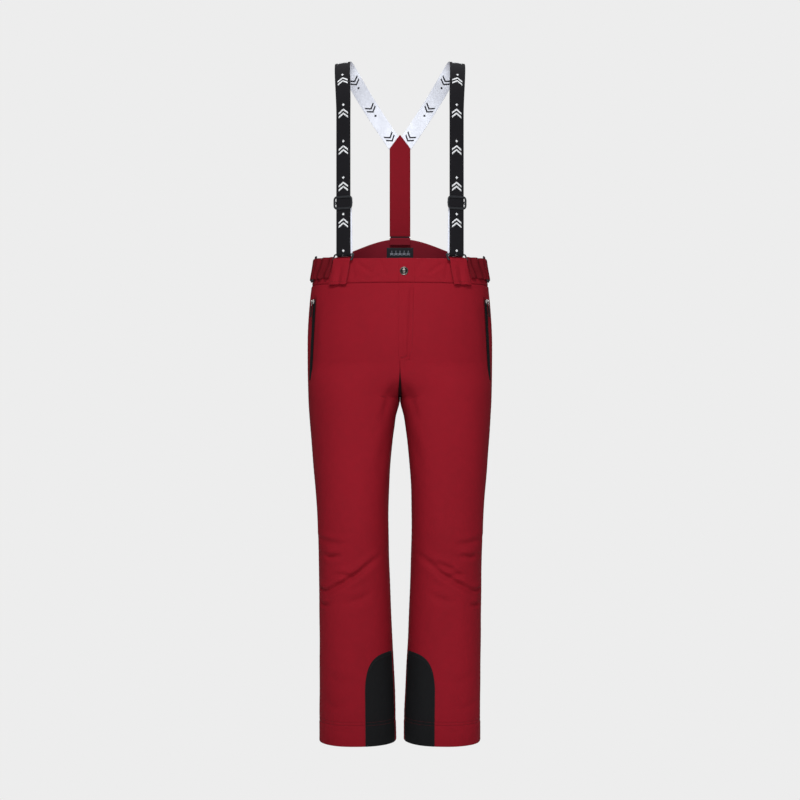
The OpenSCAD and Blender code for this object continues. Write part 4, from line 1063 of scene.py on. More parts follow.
def make_fly_flap():
    x = crowded(FLAP_HINGE, FLAP_EDGE, 22)
    z = rows_between(FLY_FOOT - 2 * MM, WAIST_SEAM - 0.3 * MM, 2.6 * MM)
    below = (WAIST_SEAM - z)[:, None]
    grid, _ = fly_surface(x, z)
    face = flap_height(x)[None, :] * smooth((z - FLY_FOOT + 5 * MM) / (20 * MM))[:, None] + 0.05 * MM
    face = face + 0.2 * MM * waves(grid, 0.05, 61) * smooth(below / 0.03)
    # a soft upright valley beside the stitching, and two small creases at the flap's foot
    valley_x = mix(25 * MM, 18 * MM, below / 0.15)
    valley = 2.6 * MM * bump(grid[..., 0] - valley_x, 4.5 * MM) * smooth(below / 0.03)
    face -= valley
    face -= 1.1 * MM * stroke_unit(grid, (0.003, 0.852), (0.019, 0.856), 2.4 * MM)
    face -= 1.0 * MM * stroke_unit(grid, (0.004, 0.843), (0.026, 0.845), 2.2 * MM)
    face -= 1.0 * MM * bump(below, 1.7 * MM)
    face -= 0.4 * MM * bump(x[None, :] - J_X, 1.4 * MM) * smooth((z - 0.872) / 0.01)[:, None]
    build = flap_layer(x, z, face, 1.5 * MM - np.minimum(0.9 * MM, 0.8 * valley), 1.2 * MM)
    turn_z = FLY_FOOT + 6 * MM + J_CORNER
    path = [(J_X, 0, h) for h in np.linspace(WAIST_SEAM - 3 * MM, turn_z, 60)]
    path += [(J_X - J_CORNER + J_CORNER * math.cos(t), 0, turn_z - J_CORNER * math.sin(t))
             for t in np.linspace(0, math.pi / 2, 24)]
    path = np.array(path)
    path[:, 1] = -depth_at(path[:, 0], path[:, 2]) - 4 * MM
    stitch(build, build.tree(), path, TOWARD, 3, radius=0.2 * MM)
    flap = build.piece("fly_placket_cloth", SHELL + [thread_red], "shell_fabric", "fly_placket", None)
    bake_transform(flap)

    z = crowded(WAIST_SEAM + 0.15 * MM, WAIST_TOP, 18)
    grid, _ = fly_surface(x, z)
    face = flap_height(x)[None, :] + 0.25 * MM * waves(grid, 0.05, 67) + 0.1 * MM
    face = face - 1.2 * MM * bump(z - WAIST_SEAM, 1.7 * MM)[:, None]
    tab = flap_layer(x, z, face, 2.3 * MM, 1.5 * MM).piece("fly_waist_tab_cloth", BAND, "shell_fabric",
                                                           "fly_waist_tab", None)
    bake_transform(tab)


SNAP_X, SNAP_Z = 8.7 * MM, 1.042
# Turned profile of the snap's cap: share of its radius, and height in mm
SNAP_PROFILE = [(0.93, 0), (1, 0.35), (1, 0.8), (0.95, 1.25), (0.86, 1.35), (0.82, 1.15), (0.77, 1.2),
                (0.70, 1.75), (0.55, 2.35), (0.35, 2.8), (0.15, 3.0), (0, 3.02)]


def make_snap():
    """A turned cap on the flap; the metal parts behind it keep their CAD shape."""
    lean = math.atan2(float(level(SNAP_Z + 0.02, DEPTH[FRONT]) - level(SNAP_Z - 0.02, DEPTH[FRONT])), 0.04)
    axis = unit(np.array([0, -math.cos(lean), -math.sin(lean)]))
    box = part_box("snap_cap")
    r, low, neck = (box[1].x - box[0].x) / 2, 1.5 * MM, 2.4 * MM
    profile = [(0.0, -0.6 * MM), (neck, -0.6 * MM), (neck, low)]
    profile = np.array(profile + [(r * share, low + height * MM) for share, height in SNAP_PROFILE])
    e1 = unit(np.cross(axis, [0.0, 0.3, 1.0]))
    turn = circle(64)[:, None]
    ring = np.cos(turn) * e1 + np.sin(turn) * np.cross(axis, e1)
    origin = np.array([SNAP_X, -float(depth_at(SNAP_X, SNAP_Z)), SNAP_Z])
    build = Build()
    radius, height = profile.T[..., None, None]
    build.sheet(origin + radius * ring[None] + height * axis, 0, wrap=True)
    build.piece("snap_cap_metal", [metal_dark], "snap_metal", "snap_cap", "fly_flap")
    for node in ("snap_socket", "snap_stud", "snap_post"):
        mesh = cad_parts[node].data
        mesh.materials.clear()
        mesh.materials.append(metal_dark)


SHIELD_BEND = (1.012, 1.030)


def make_shield():
    """Guard of lining behind the fly; it steps forward behind the waistband."""
    z = crowded(FLY_FOOT + 5 * MM, WAIST_TOP - 4 * MM, 48)
    grid, normal = fly_surface(crowded(-30 * MM, 26 * MM, 16), z)
    inset = mix(13 * MM, 5 * MM, smooth((z - SHIELD_BEND[0]) / (SHIELD_BEND[1] - SHIELD_BEND[0])))
    soft = 0.5 * MM * waves(grid, 0.07, 71) * smooth((SHIELD_BEND[0] - z) / 0.02)[:, None]
    middle = soft - inset[:, None] - 1 * MM
    build, _ = padded(grid, normal, middle - 0.9 * MM, middle + 0.9 * MM)
    build.piece("fly_shield_cloth", [lining_black], "lining", "fly_shield")


# ---- Zips -----------------------------------------------------------------------------------

PIN_OUT, PIN_UP = 4.78 * MM, -4.0 * MM


def zip_tape(place, length, width):
    """Woven tapes with two rows of coil."""
    flat = spread(crowded(-width / 2, width / 2, 10)[None, :], 0.0, crowded(0.0, -length, 60)[:, None])
    turn = bump(edge_distance(flat), 0.8 * MM) * 0.2 * MM
    thick = 0.42 * MM + 0.22 * MM * bump(np.abs(flat[..., 0]) - 2.9 * MM, 0.7 * MM)
    outer, inner = flat.copy(), flat.copy()
    outer[..., 1] += thick - turn
    inner[..., 1] -= 0.42 * MM - turn
    build = Build().shell(place(outer), place(inner))
    pitch = 1.45 * MM
    up = np.arange(-0.8 * MM, -length + 0.8 * MM, -pitch)
    for sign, shift in ((-1, 0.0), (1, pitch / 2)):
        middle = place(spread(sign * 0.75 * MM, 1.1 * MM, up - shift))
        way = unit(np.array([1, 0, 0.25 * sign]) @ place.axes)
        build.beads(middle, np.broadcast_to(way, middle.shape), place.out, 2.7 * MM, 0.62 * MM, 1)
    for sign in (-1, 1):
        line = spread(sign * 2.25 * MM, 0.75 * MM, np.linspace(-0.5 * MM, -length + 0.5 * MM, 40))
        build.tube(place(line), 0.34 * MM, place.out, 1, sides=8)
    return build


def slider_body(place):
    """Saddle of a zip slider: a shield-shaped top, two side walls and the bridge for the pull."""
    build = Build()
    w, length = 4.3 * MM, 11 * MM
    right = [(w, -1.4 * MM), (w, -4.2 * MM), (w * 0.74, -length + 1.2 * MM), (w * 0.55, -length)]
    shield = [(-w * 0.78, 0), (w * 0.78, 0)] + right + [(-x, z) for x, z in right[::-1]]
    plate(build, place, shield, 2.1 * MM, 3.0 * MM, 0.3 * MM)
    for sign in (-1, 1):
        wall = rounded(1.2 * MM, 8.6 * MM, 0.5 * MM, (sign * (w - 0.75 * MM), -5.0 * MM), 3)
        plate(build, place, wall, 0.78 * MM, 2.3 * MM, 0.2 * MM)
        lug = rounded(1.0 * MM, 4.0 * MM, 0.45 * MM, (sign * 2.7 * MM, PIN_UP), 4)
        plate(build, place, lug, 2.8 * MM, PIN_OUT + 1.15 * MM)
    pin = spread(np.linspace(-3.3 * MM, 3.3 * MM, 6), PIN_OUT, PIN_UP)
    build.tube(place(pin), 0.74 * MM, place.out, sides=16)
    return build


def pull_tab(place, link, tail, lift=1.0 * MM):
    """Pull on its pin: a metal link with two eyes, then a moulded tail when the tail has a length."""
    build = Build()
    turn, eye = circle(20), 1.22 * MM
    for x in (-1.1 * MM, 1.1 * MM):
        ring = spread(x, PIN_OUT + eye * np.sin(turn), PIN_UP + eye * np.cos(turn))
        build.tube(place(ring), 0.38 * MM, place.across, closed=True, sides=8)
    out = PIN_OUT + lift
    link_shape = rounded(3.4 * MM, link, 0.9 * MM, (0, PIN_UP - link / 2 - 0.95 * MM), 4)
    plate(build, place, link_shape, out - 0.55 * MM, out + 0.45 * MM)
    if tail:
        top = PIN_UP - link
        end = top - tail
        right = [(1.5 * MM, top + 2.5 * MM), (2.1 * MM, top - 1 * MM), (2.6 * MM, top - tail * 0.4),
                 (2.5 * MM, end + 2.2 * MM), (1.6 * MM, end + 0.4 * MM)]
        tail_shape = [(-x, z) for x, z in right] + [(0, end)] + right[::-1]
        plate(build, place, tail_shape, out - 0.95 * MM, out + 0.85 * MM, 0.4 * MM, 1)
        for k in range(5):
            z = top - tail * 0.35 - k * 2.2 * MM
            rib = spread(np.linspace(-1.9 * MM, 1.9 * MM, 5), out + 0.85 * MM, z)
            build.tube(place(rib), 0.3 * MM, place.out, 1, sides=6)
    return build


def make_pocket(hand, mirrored):
    top, foot = (np.array([float(edge_at(*end)), *end]) for end in (POCKET_TOP, POCKET_FOOT))
    length = float(np.linalg.norm(top - foot))
    up = (top - foot) / length
    a = float(facing_at(*(POCKET_TOP + POCKET_FOOT) / 2))
    across = unit(np.cross([math.cos(a), math.sin(a), 0], up))
    out = np.cross(up, across)
    place = Place(top + 1.2 * MM * out, across, out, up)
    lower = Place(place.origin - 0.75 * MM * out, across, out, up)
    zip_tape(lower, length, 15 * MM).piece(f"pocket_zip_{hand}_coil", [tape_black, coil_black], "zip_tape",
                                           f"pocket_zip_{hand}", mirrored=mirrored)
    slider_body(place).piece(f"pocket_slider_{hand}_metal", [metal_slider], "slider_metal",
                             f"pocket_zip_slider_{hand}", f"pocket_slider_{hand}", mirrored)
    pull_tab(place, 12 * MM, 24 * MM).piece(f"pocket_pull_{hand}_cord", [metal_slider, cord_black], "cord",
                                            f"pocket_zip_pull_{hand}", f"pocket_pull_{hand}", mirrored)


FLY_ZIP_X, FLY_ZIP_INSET, FLY_ZIP_ENDS = 12 * MM, 6.5 * MM, (1.008, 0.862)


def make_fly_zip():
    top, foot = (np.array([FLY_ZIP_X, FLY_ZIP_INSET - float(depth_at(FLY_ZIP_X, z)), z])
                 for z in FLY_ZIP_ENDS)
    length = float(np.linalg.norm(top - foot))
    up = (top - foot) / length
    across = np.array([-1.0, 0, 0])
    place = Place(top, across, np.cross(up, across), up)
    zip_tape(place, length, 22 * MM).piece("fly_zip_coil", [tape_black, coil_black], "zip_tape", "fly_zip")
    metal = ([metal_dark], "slider_metal")
    slider_body(place).piece("fly_slider_metal", *metal, "fly_zip_slider", "fly_slider")
    pull_tab(place, 14 * MM, 0, 0.55 * MM).piece("fly_pull_metal", *metal, "fly_zip_pull", "fly_slider")


def make_rise_shade_tape():
    """Binding inside the middle seam, from the foot of the fly under the crotch to the seat; its near-black
    colour is painted shade that darkens the slit between the legs.
    """
    ends = ((FLY_FOOT - 2 * MM, CROTCH + 0.5 * MM, FRONT), (CROTCH + 0.5 * MM, BACK_SPLIT - 2 * MM, BACK))
    path = np.concatenate([outline(np.linspace(a, b, 60), 1.0, side) for a, b, side in ends])
    path[:, 0] = 0
    inward = np.cross(unit(np.gradient(path, axis=0)), [1.0, 0, 0])
    middle = path.mean(0) + np.array([0, 0, 0.06])
    inward = (inward * np.sign(np.sum(inward * (middle - path), 1))[:, None])[:, None]
    x = np.linspace(-12, 12, 13) * MM
    bow = 2.6 * MM + 3.5 * MM * (np.abs(x) / (12 * MM)) ** 2
    grid = path[:, None] + x[None, :, None] * np.array([1.0, 0, 0]) + inward * bow[None, :, None]
    Build().shell(grid, grid + inward * 0.9 * MM).piece("rise_seam_shade_binding", [binding_painted_shade], "lining")


def make_pocket_bag(hand, mirrored):
    """Flat pouch of lining inside the front panel, fuller towards its foot."""
    grid = outline(crowded(0.826, 0.985, 34)[:, None], np.linspace(0.16, 0.56, 26)[None, :], FRONT)
    normal = normals_of(grid, leg_axis(grid))
    edge = edge_distance(grid)
    full = smooth(edge / 0.03) * 1.2 * MM
    soft = 0.5 * MM * waves(grid, 0.05, 83)
    rim = 0.6 * MM * bump(edge, 2 * MM)
    build = Build().shell(grid + normal * (-9.4 * MM + 0.4 * full + soft - rim)[..., None],
                          grid + normal * (-11.4 * MM - full + soft + rim)[..., None])
    build.piece(f"pocket_bag_{hand}_cloth", [lining_red], "lining", f"pocket_bag_{hand}", mirrored=mirrored)


# ---- Braces ---------------------------------------------------------------------------------

WEBBING_W, WEBBING_T = 35 * MM, 1.2 * MM
STRAP_X, TURN_H, SLIDER_H = 0.124, 1.400, 1.194
SHOULDER = np.array([STRAP_X + 3 * MM, 0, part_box("suspender_strap_left")[1].z - 3 * MM])
JUNCTION = np.array([0.011, 0.1022, 1.352])
BACK_SHARE, BACK_Y = 0.24, 0.046
BACK_START = mix(SHOULDER, JUNCTION, BACK_SHARE) + np.array([0, BACK_Y - BACK_SHARE * JUNCTION[1], 0])
BACK_LEAN, SHOULDER_SLOPE = math.radians(31), math.radians(7.6)
RING_W, RING_R = 50 * MM, 1.75 * MM
RING_FRONT, RING_REAR = (5.8 * MM, 1.068), (-4.6 * MM, 1.081)
LOOP_R = RING_R + 2.2 * MM + WEBBING_T / 2
STRAP_OUT_BY = RING_REAR[0] + LOOP_R
BAR_BEHIND = 3.75 * MM
PLASTIC = ([plastic_black], "black_plastic")


def strap_place():
    y = float(depth_at(STRAP_X, WAIST_TOP))
    a = -float(facing(STRAP_X, y, level(WAIST_TOP, OUTER), level(WAIST_TOP, DEPTH[FRONT])))
    return Place([STRAP_X, -y, 0], [math.sin(a), -math.cos(a), 0], [math.cos(a), math.sin(a), 0], UP)


STRAP = strap_place()


def arc(centre, radius, start, end, steps):
    """Points of an arc in the strap's middle plane, as (across, out, up)."""
    a = np.linspace(start, end, steps)
    return spread(0.0, centre[0] + radius * np.cos(a), centre[1] + radius * np.sin(a))


def back_point(t):
    """Middle of the webbing down the back, which bows out on its way to the junction."""
    bow = (JUNCTION[1] - BACK_START[1]) * (1 - t - (1 - t) ** 3)
    return mix(BACK_START, JUNCTION, t) + np.array([0, bow, 0])


def webbing_path():
    """Middle line of one strap and its width direction: ring loop, front, shoulder, and down the back."""
    front = STRAP.across
    points = list(STRAP(arc(RING_REAR, LOOP_R, -math.pi, 0, 13)))
    across = [front] * 13
    low, start = points[12], STRAP([0, STRAP_OUT_BY, TURN_H])
    over = unit(np.array([-0.1, 1, 0]))
    slope, back = (np.array([-math.cos(a), 0, math.sin(a)]) for a in (SHOULDER_SLOPE, BACK_LEAN))
    way = unit(back_point(0.01) - back_point(-0.01))
    runs = ((70, lambda t: mix(low, start, t), front, front),
            (33, lambda t: hermite(start, 0.150 * UP, SHOULDER, 0.130 * over, t), front, slope),
            (33, lambda t: hermite(SHOULDER, 0.120 * over, BACK_START, 0.070 * way, t), slope, back),
            (41, back_point, back, back))
    for steps, at, first, last in runs:
        for t in np.linspace(0, 1, steps)[1:]:
            points.append(at(t))
            across.append(mix(first, last, t))
    return np.array(points), unit(across)


def ribbon_frames(points, across):
    """Width and face directions of webbing, square to its path."""
    way = unit(np.gradient(points, axis=0))
    across = unit(across - np.sum(across * way, 1, keepdims=True) * way)
    return across, np.cross(way, across)


def ribbon(points, across, out, cols):
    """Flat webbing with rounded selvedges, black outside and white inside."""
    k = np.sin(np.linspace(-math.pi / 2, math.pi / 2, cols)) / 2
    round_off = np.sqrt(np.clip(1 - (2 * np.abs(k)) ** 8, 0.06, 1))
    middle = points[:, None] + k[None, :, None] * WEBBING_W * across[:, None]
    lift = (WEBBING_T / 2) * round_off[None, :, None] * out[:, None]
    return Build().shell(middle + lift, middle - lift, (0, 1, 0))


def mark(build, surface, size, mat, floor=-1.0):
    """Generic mark, two chevrons under a diamond, as thin raised print; surface(across, up, lift) places it.

    Strokes that reach below floor are left out."""
    half, rise, bar, gem = size * 0.46, 0.34 * size, size * 0.17, 0.13 * size
    strokes = []
    for base in (-0.56 * size, -0.22 * size):
        for x in (-half, half):
            strokes.append([(x, base), (0, base + rise), (0, base + rise - bar), (x, base - bar)])
    strokes.append([(0, 0.47 * size + gem), (gem, 0.47 * size), (0, 0.47 * size - gem), (-gem, 0.47 * size)])
    for a, b, c, d in np.array([points for points in strokes if min(z for _, z in points) > floor]):
        t = np.linspace(0, 1, 7)[:, None]
        rows = np.stack([mix(a, b, t), mix(d, c, t)], 1)
        faces = (surface(rows[..., 0], rows[..., 1], lift) for lift in (0.13 * MM, -0.20 * MM))
        build.shell(*faces, (mat,) * 3)


MARK_PITCH, LOW_MARK, MARK_SIZE = 80 * MM, 1.157, 25 * MM


def eased(values, s):
    """Evens out the run over the shoulder, where stiff webbing bends gently."""
    reach = np.arange(-9, 10)
    weight = np.exp(-(reach / 6.0) ** 2)
    places = np.clip(np.arange(len(values))[:, None] + reach[None, :], 0, len(values) - 1)
    soft = np.tensordot(weight / weight.sum(), values[places], (0, 1))
    return mix(values, soft, (smooth((s - 0.30) / 0.05) * smooth((s[-1] - 0.03 - s) / 0.05))[:, None])


def make_strap(hand, mirrored):
    points, across = webbing_path()
    across, _ = ribbon_frames(points, across)
    run = run_of(points)
    s = np.append(np.arange(0, run[-1], 3.5 * MM), run[-1])
    points, across = (eased(at_run(s, run, v), s) for v in (points, across))
    across, out = ribbon_frames(points, unit(across))
    build = ribbon(points, across, out, 11)
    # the print stands upright on the black face in front and shows on the white face at the back
    highest = int(np.argmax(points[:, 2]))
    low_mark = float(np.interp(LOW_MARK, points[6:highest, 2], s[6:highest]))
    for place in low_mark + MARK_PITCH * np.arange(-1, 9):
        place = max(place, 8 * MM)
        if place > s[-1] - 10 * MM:
            break
        face = 1 if place < s[highest] else -1

        def surface(x, up, lift, place=place, face=face):
            p, a, o = (np.stack([np.interp(place + up, s, v[:, j]) for j in range(3)], -1)
                       for v in (points, across, out))
            return p - face * x[..., None] * a + face * (WEBBING_T / 2 + lift) * o
        mark(build, surface, MARK_SIZE, 2 if face > 0 else 3, -place)
    name = f"suspender_strap_{hand}"
    strap = build.piece(f"{name}_webbing", WEBBING + [mark_white, mark_black], "webbing", name, None,
                        mirrored)
    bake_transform(strap)


def make_return(hand, mirrored):
    """Second layer of webbing, from the ring's loop up to the slider's middle bar and round it."""
    bar_y, wrap_r = STRAP_OUT_BY - BAR_BEHIND, 0.85 * MM + 0.35 * MM + WEBBING_T / 2
    t = np.linspace(0, 1, 36)
    y = mix(RING_REAR[0] - LOOP_R, bar_y - wrap_r, smooth(t)) - 0.8 * MM * np.sin(math.pi * t)
    rise = spread(0.0, y, mix(RING_REAR[1] + 0.3 * MM, SLIDER_H - 2.5 * MM, t))
    fall = spread(0.0, bar_y + wrap_r, np.array([SLIDER_H - 1 * MM, SLIDER_H - 2.5 * MM]))
    points = STRAP(np.concatenate([rise, arc((bar_y, SLIDER_H + 2 * MM), wrap_r, math.pi, 0, 13)[1:], fall]))
    across, out = ribbon_frames(points, np.broadcast_to(STRAP.across, points.shape))
    name = f"strap_return_{hand}"
    strap = ribbon(points, across, -out, 9).piece(f"{name}_webbing", WEBBING, "webbing", name, None, mirrored)
    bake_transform(strap)


def make_slider(hand, mirrored):
    """Moulded slider: a rounded frame in front of the webbing and a middle bar behind it."""
    build = Build()
    wide, tall, bar = 47 * MM, 30 * MM, 2.5 * MM
    front = STRAP_OUT_BY + WEBBING_T / 2 + 0.35 * MM + 1.1 * MM
    loop = rounded(wide - 2 * bar, tall - 2 * bar, 6.5 * MM, steps=7)
    path = STRAP(spread(loop[:, 0], front, SLIDER_H + loop[:, 1]))
    build.tube(path, bar, STRAP.out, closed=True, sides=14, flat=0.43)
    reach = wide / 2 - bar - 1.2 * MM
    half = [(1.2 * MM, front - 0.2 * MM, 3.4 * MM), (0, front - 2.6 * MM, 2.6 * MM),
            (0, STRAP_OUT_BY - 3.2 * MM, 1.5 * MM)]
    bend = ([(x, y, -z) for x, y, z in half] + [(0, STRAP_OUT_BY - BAR_BEHIND, 0)] + half[::-1])
    for sign in (-1, 1):
        arm = [(sign * (reach + x), y, SLIDER_H + z) for x, y, z in bend]
        build.tube(STRAP(arm), 1.2 * MM, STRAP.across, flat=0.95)
    middle = spread(np.linspace(-reach, reach, 12), STRAP_OUT_BY - BAR_BEHIND, SLIDER_H)
    build.tube(STRAP(middle), 2.2 * MM, STRAP.out, sides=14, flat=0.38)
    name = f"strap_slider_{hand}"
    build.piece(f"{name}_moulding", *PLASTIC, name, name, mirrored)


def make_ring(hand, mirrored):
    """Rectangular ring in its own leaning plane, between the tab and the webbing."""
    rise, back = RING_REAR[1] - RING_FRONT[1], RING_REAR[0] - RING_FRONT[0]
    lean, span = math.atan2(rise, back), math.hypot(rise, back)
    x, along = rounded(RING_W - 2 * RING_R, span, 2.2 * MM, (0, span / 2), 7).T
    path = spread(x, RING_FRONT[0] + along * math.cos(lean), RING_FRONT[1] + along * math.sin(lean))
    build = Build()
    build.tube(STRAP(path), RING_R, np.array([0, -math.sin(lean), math.cos(lean)]) @ STRAP.axes, closed=True,
               sides=14)
    name = f"suspender_ring_{hand}"
    build.piece(f"{name}_moulding", *PLASTIC, name, name, mirrored)


TAB_W, TAB_FOOT, TAB_LIFT = 42 * MM, 1.014, 4.4 * MM
TAB_ROWS = 26


def make_tab(hand, mirrored):
    """Cloth tab folded over the ring's front bar; its foot flares away from the waistband."""
    fold_r = 2.2 * MM + 1.1 * MM
    t = np.linspace(0, 1, TAB_ROWS)
    front = spread(0.0, RING_FRONT[0] + fold_r + TAB_LIFT * (1 - t) ** 1.2, mix(TAB_FOOT, RING_FRONT[1], t))
    path = np.concatenate([front, arc(RING_FRONT, fold_r, 0, math.pi, 13)[1:],
                           arc(RING_FRONT, fold_r, math.pi, 1.25 * math.pi, 5)[1:]])
    x = crowded(-TAB_W / 2, TAB_W / 2, 26)[None, :]
    low = np.clip((RING_FRONT[1] - path[:, 2]) / (RING_FRONT[1] - TAB_FOOT), 0, 1)[:, None]
    in_front = (np.arange(len(path)) < TAB_ROWS)[:, None]
    # the front leans outward towards its foot, with soft upright folds that open downward
    lean = 8.5 * MM * low ** 1.3 * in_front
    u = x / TAB_W
    folds = (-1.5 * MM * bump(u + 0.05 * low, 0.12) + 1.0 * MM * bump(u + 0.26, 0.14)
             + 0.9 * MM * bump(u - 0.26, 0.14) - 0.8 * MM * bump(u - 0.5, 0.12))
    folds = folds * (smooth(low * 1.6) * in_front)
    grid = STRAP(spread(-x * (1 + 0.03 * low) - lean, path[:, 1:2] + folds, path[:, 2:]))
    normal = surface_normals(grid)
    normal = -normal if np.sum(normal[:TAB_ROWS] @ STRAP.out) < 0 else normal
    _, outer = padded(grid, normal, -0.95 * MM, 0.95 * MM, 1.2 * MM)
    inner = grid + normal * (np.sum((outer - grid) * normal, -1) * -1)[..., None]
    build = Build().shell(outer, inner, (0, 0, 1))
    tree = build.tree()
    for line in (outer[2:TAB_ROWS - 2, 2], outer[2:TAB_ROWS - 2, -3], outer[3, 3:-3]):
        stitch(build, tree, line, STRAP.out, 2)
    build.piece(f"suspender_tab_{hand}_cloth", [shell_red, shell_rim_shaded, thread_red], "shell_fabric",
                f"suspender_tab_{hand}", mirrored=mirrored)


BACK_STRAP_W, BACK_STRAP_T = 48 * MM, 2.4 * MM
STRAP_FOOT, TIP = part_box("back_strap")[0].z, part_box("back_strap")[1].z
TIP_SHOULDER, TIP_Y = 1.344, 0.101
FOOT_Y = float(level(1.135, DEPTH[BACK])) - 1.5 * MM


def back_strap_y(z):
    return mix(FOOT_Y, TIP_Y, (z - STRAP_FOOT) / (TIP - STRAP_FOOT))


def make_back_strap():
    """Pointed strap down the back, its elastic, and the tab that holds it on the yoke."""
    straight, point = crowded(STRAP_FOOT, TIP_SHOULDER, 54), crowded(TIP_SHOULDER, TIP - 1 * MM, 16)
    z = np.unique(np.concatenate([straight, point]))
    half = BACK_STRAP_W / 2 * np.clip((TIP - z) / (TIP - TIP_SHOULDER), 0, 1)
    grid = spread(crowded(-1.0, 1.0, 18, 0.06)[None, :] * half[:, None], back_strap_y(z)[:, None], z[:, None])
    soft = 0.35 * MM * waves(grid, 0.09, 91) * 0.6
    fold = 0.5 * MM * bump(z - STRAP_FOOT - 11 * MM, 1.4 * MM)
    build, _ = padded(grid, TOWARD, 0.1 * MM + soft, BACK_STRAP_T - fold[:, None] + soft, 1.5 * MM)
    tree = build.tree()
    inset = 3.0 * MM
    side = BACK_STRAP_W / 2 - inset
    foot, neck = STRAP_FOOT + 3 * MM, TIP_SHOULDER - 1 * MM
    line = resample([(-side, 0, foot), (-side, 0, neck), (0, 0, TIP - inset * 1.6),
                     (side, 0, neck), (side, 0, foot)], 2 * MM)
    for outward in (TOWARD, -TOWARD):
        line[:, 1] = back_strap_y(line[:, 2]) - 1.2 * MM + outward[1] * 4 * MM
        stitch(build, tree, line, outward, 1)
        row = spread(np.linspace(-side, side, 20), line[0, 1], STRAP_FOOT + 11 * MM)
        stitch(build, tree, row, outward, 1)
    build.piece("back_strap_cloth", [strap_red, thread_red], "shell_fabric", "back_strap")

    low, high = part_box("back_strap_elastic")
    x = crowded(low.x, high.x, 24)[None, :]
    z = crowded(low.z - 1.5 * MM, high.z + 1.5 * MM, 4, 0.3 * MM)[:, None]
    grid = spread(x, (low.y + high.y) / 2 + 0.15 * MM * np.sin(x / 0.9e-3), z)
    build, _ = padded(grid, TOWARD, -0.7 * MM, 0.7 * MM, 0.5 * MM)
    build.piece("back_strap_elastic_web", [elastic_black], "elastic", "back_strap_elastic")

    low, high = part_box("back_tab")
    front, top = low.y + 1.2 * MM, high.z - 0.9 * MM
    path = [(front, low.z), (front, high.z - 3 * MM), (low.y + 2.2 * MM, high.z - 1 * MM),
            (low.y + 4.4 * MM, top), (high.y - 1.6 * MM, top)]
    fine = resample([(0, y, z) for y, z in path], 0.8 * MM)
    grid = spread(crowded(low.x, high.x, 20)[None, :], fine[:, 1:2], fine[:, 2:])
    normal = normals_of(grid, np.array([0, high.y + 0.02, low.z]))
    build, _ = padded(grid, normal, -0.8 * MM, 0.8 * MM, 0.9 * MM)
    tree = build.tree()
    for z in (low.z + 2.2 * MM, high.z - 5 * MM):
        stitch(build, tree, spread(np.linspace(low.x + 3 * MM, high.x - 3 * MM, 20), low.y, z), TOWARD, 1)
    build.piece("back_tab_cloth", [yoke_red, thread_red], "shell_fabric", "back_tab")


def make_label():
    """Woven label inside the back of the waist, with a generic mark."""
    low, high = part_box("back_label")
    grid, normal = fly_surface(crowded(low.x, high.x, 30), crowded(low.z, high.z, 14), BACK, 1.1)
    build, outer = padded(grid, -normal, 3.4 * MM, 4.3 * MM, 1.2 * MM)
    middle = (low.z + high.z) / 2
    x, z = rounded(high.x - low.x - 4 * MM, high.z - low.z - 4 * MM, 1 * MM, (0, middle)).T
    path = spread(np.append(x, x[0]), outer[0, 0, 1], np.append(z, z[0]))
    stitch(build, build.tree(), path, TOWARD, 2, 2.4 * MM, 1.8 * MM, 0.2 * MM)
    for k in range(-2, 3):
        def surface(x, up, lift, cx=k * 9.5 * MM, cz=middle + 2.5 * MM):
            return np.stack([cx + x, depth_at(cx + x, cz + up, BACK) - 4.4 * MM - lift, cz + up], -1)
        mark(build, surface, 8.5 * MM, 1)
    build.piece("back_label_woven", [label_satin, label_mark, thread_black], "label", "back_label")


# ---- Side adjusters -------------------------------------------------------------------------

ADJ_LOW, ADJ_HIGH = 1.029, 1.077
ADJ_MID = (ADJ_LOW + ADJ_HIGH) / 2
REAR_Y, BAR_GAP, BAR_OFF, BAR_R = -0.027, 11 * MM, 4.3 * MM, 1.75 * MM
SLEEVE_R = BAR_R + 0.35 * MM + 0.75 * MM
FLAP_END, FLAP_CORNER = 0.062, 13 * MM
PLEAT = 23.5 * MM


def side_grid(y, z):
    """Points and outward normals of the waist's side at depths y and heights z."""
    y, z = np.broadcast_arrays(y[None, :], z if z.ndim > 1 else z[:, None])
    a = facing_at(y, z)
    return np.stack([edge_at(y, z), y, z], -1), np.stack([np.cos(a), np.sin(a), np.zeros_like(a)], -1)


def adjuster_place():
    """Frame of the ring's rear bar: across runs backward along the waist."""
    a = float(facing_at(REAR_Y, ADJ_MID))
    out = np.array([math.cos(a), math.sin(a), 0])
    along = np.array([-math.sin(a), math.cos(a), 0])
    lean = math.atan2(float(edge_at(REAR_Y, ADJ_LOW) - edge_at(REAR_Y, ADJ_HIGH)), ADJ_HIGH - ADJ_LOW)
    up = unit(-math.sin(lean) * out + math.cos(lean) * UP)
    lifted = np.cross(along, up)
    bar = np.array([float(edge_at(REAR_Y, ADJ_MID)), REAR_Y, ADJ_MID]) + BAR_OFF * out
    return Place(bar, along, lifted if lifted @ out > 0 else -lifted, up)


ADJ = adjuster_place()


def sleeve(build, along, start, sweep):
    """Cloth round an upright bar of the ring, from an angle (0 is backward, a quarter turn is outward)."""
    angles = np.linspace(start, start + sweep, 22)[None, :]
    heights = crowded(-23 * MM, 23 * MM, 12)[:, None]
    build.shell(*(ADJ(spread(along - r * np.cos(angles), r * np.sin(angles), heights))
                  for r in (SLEEVE_R + 0.75 * MM, SLEEVE_R - 0.7 * MM)))


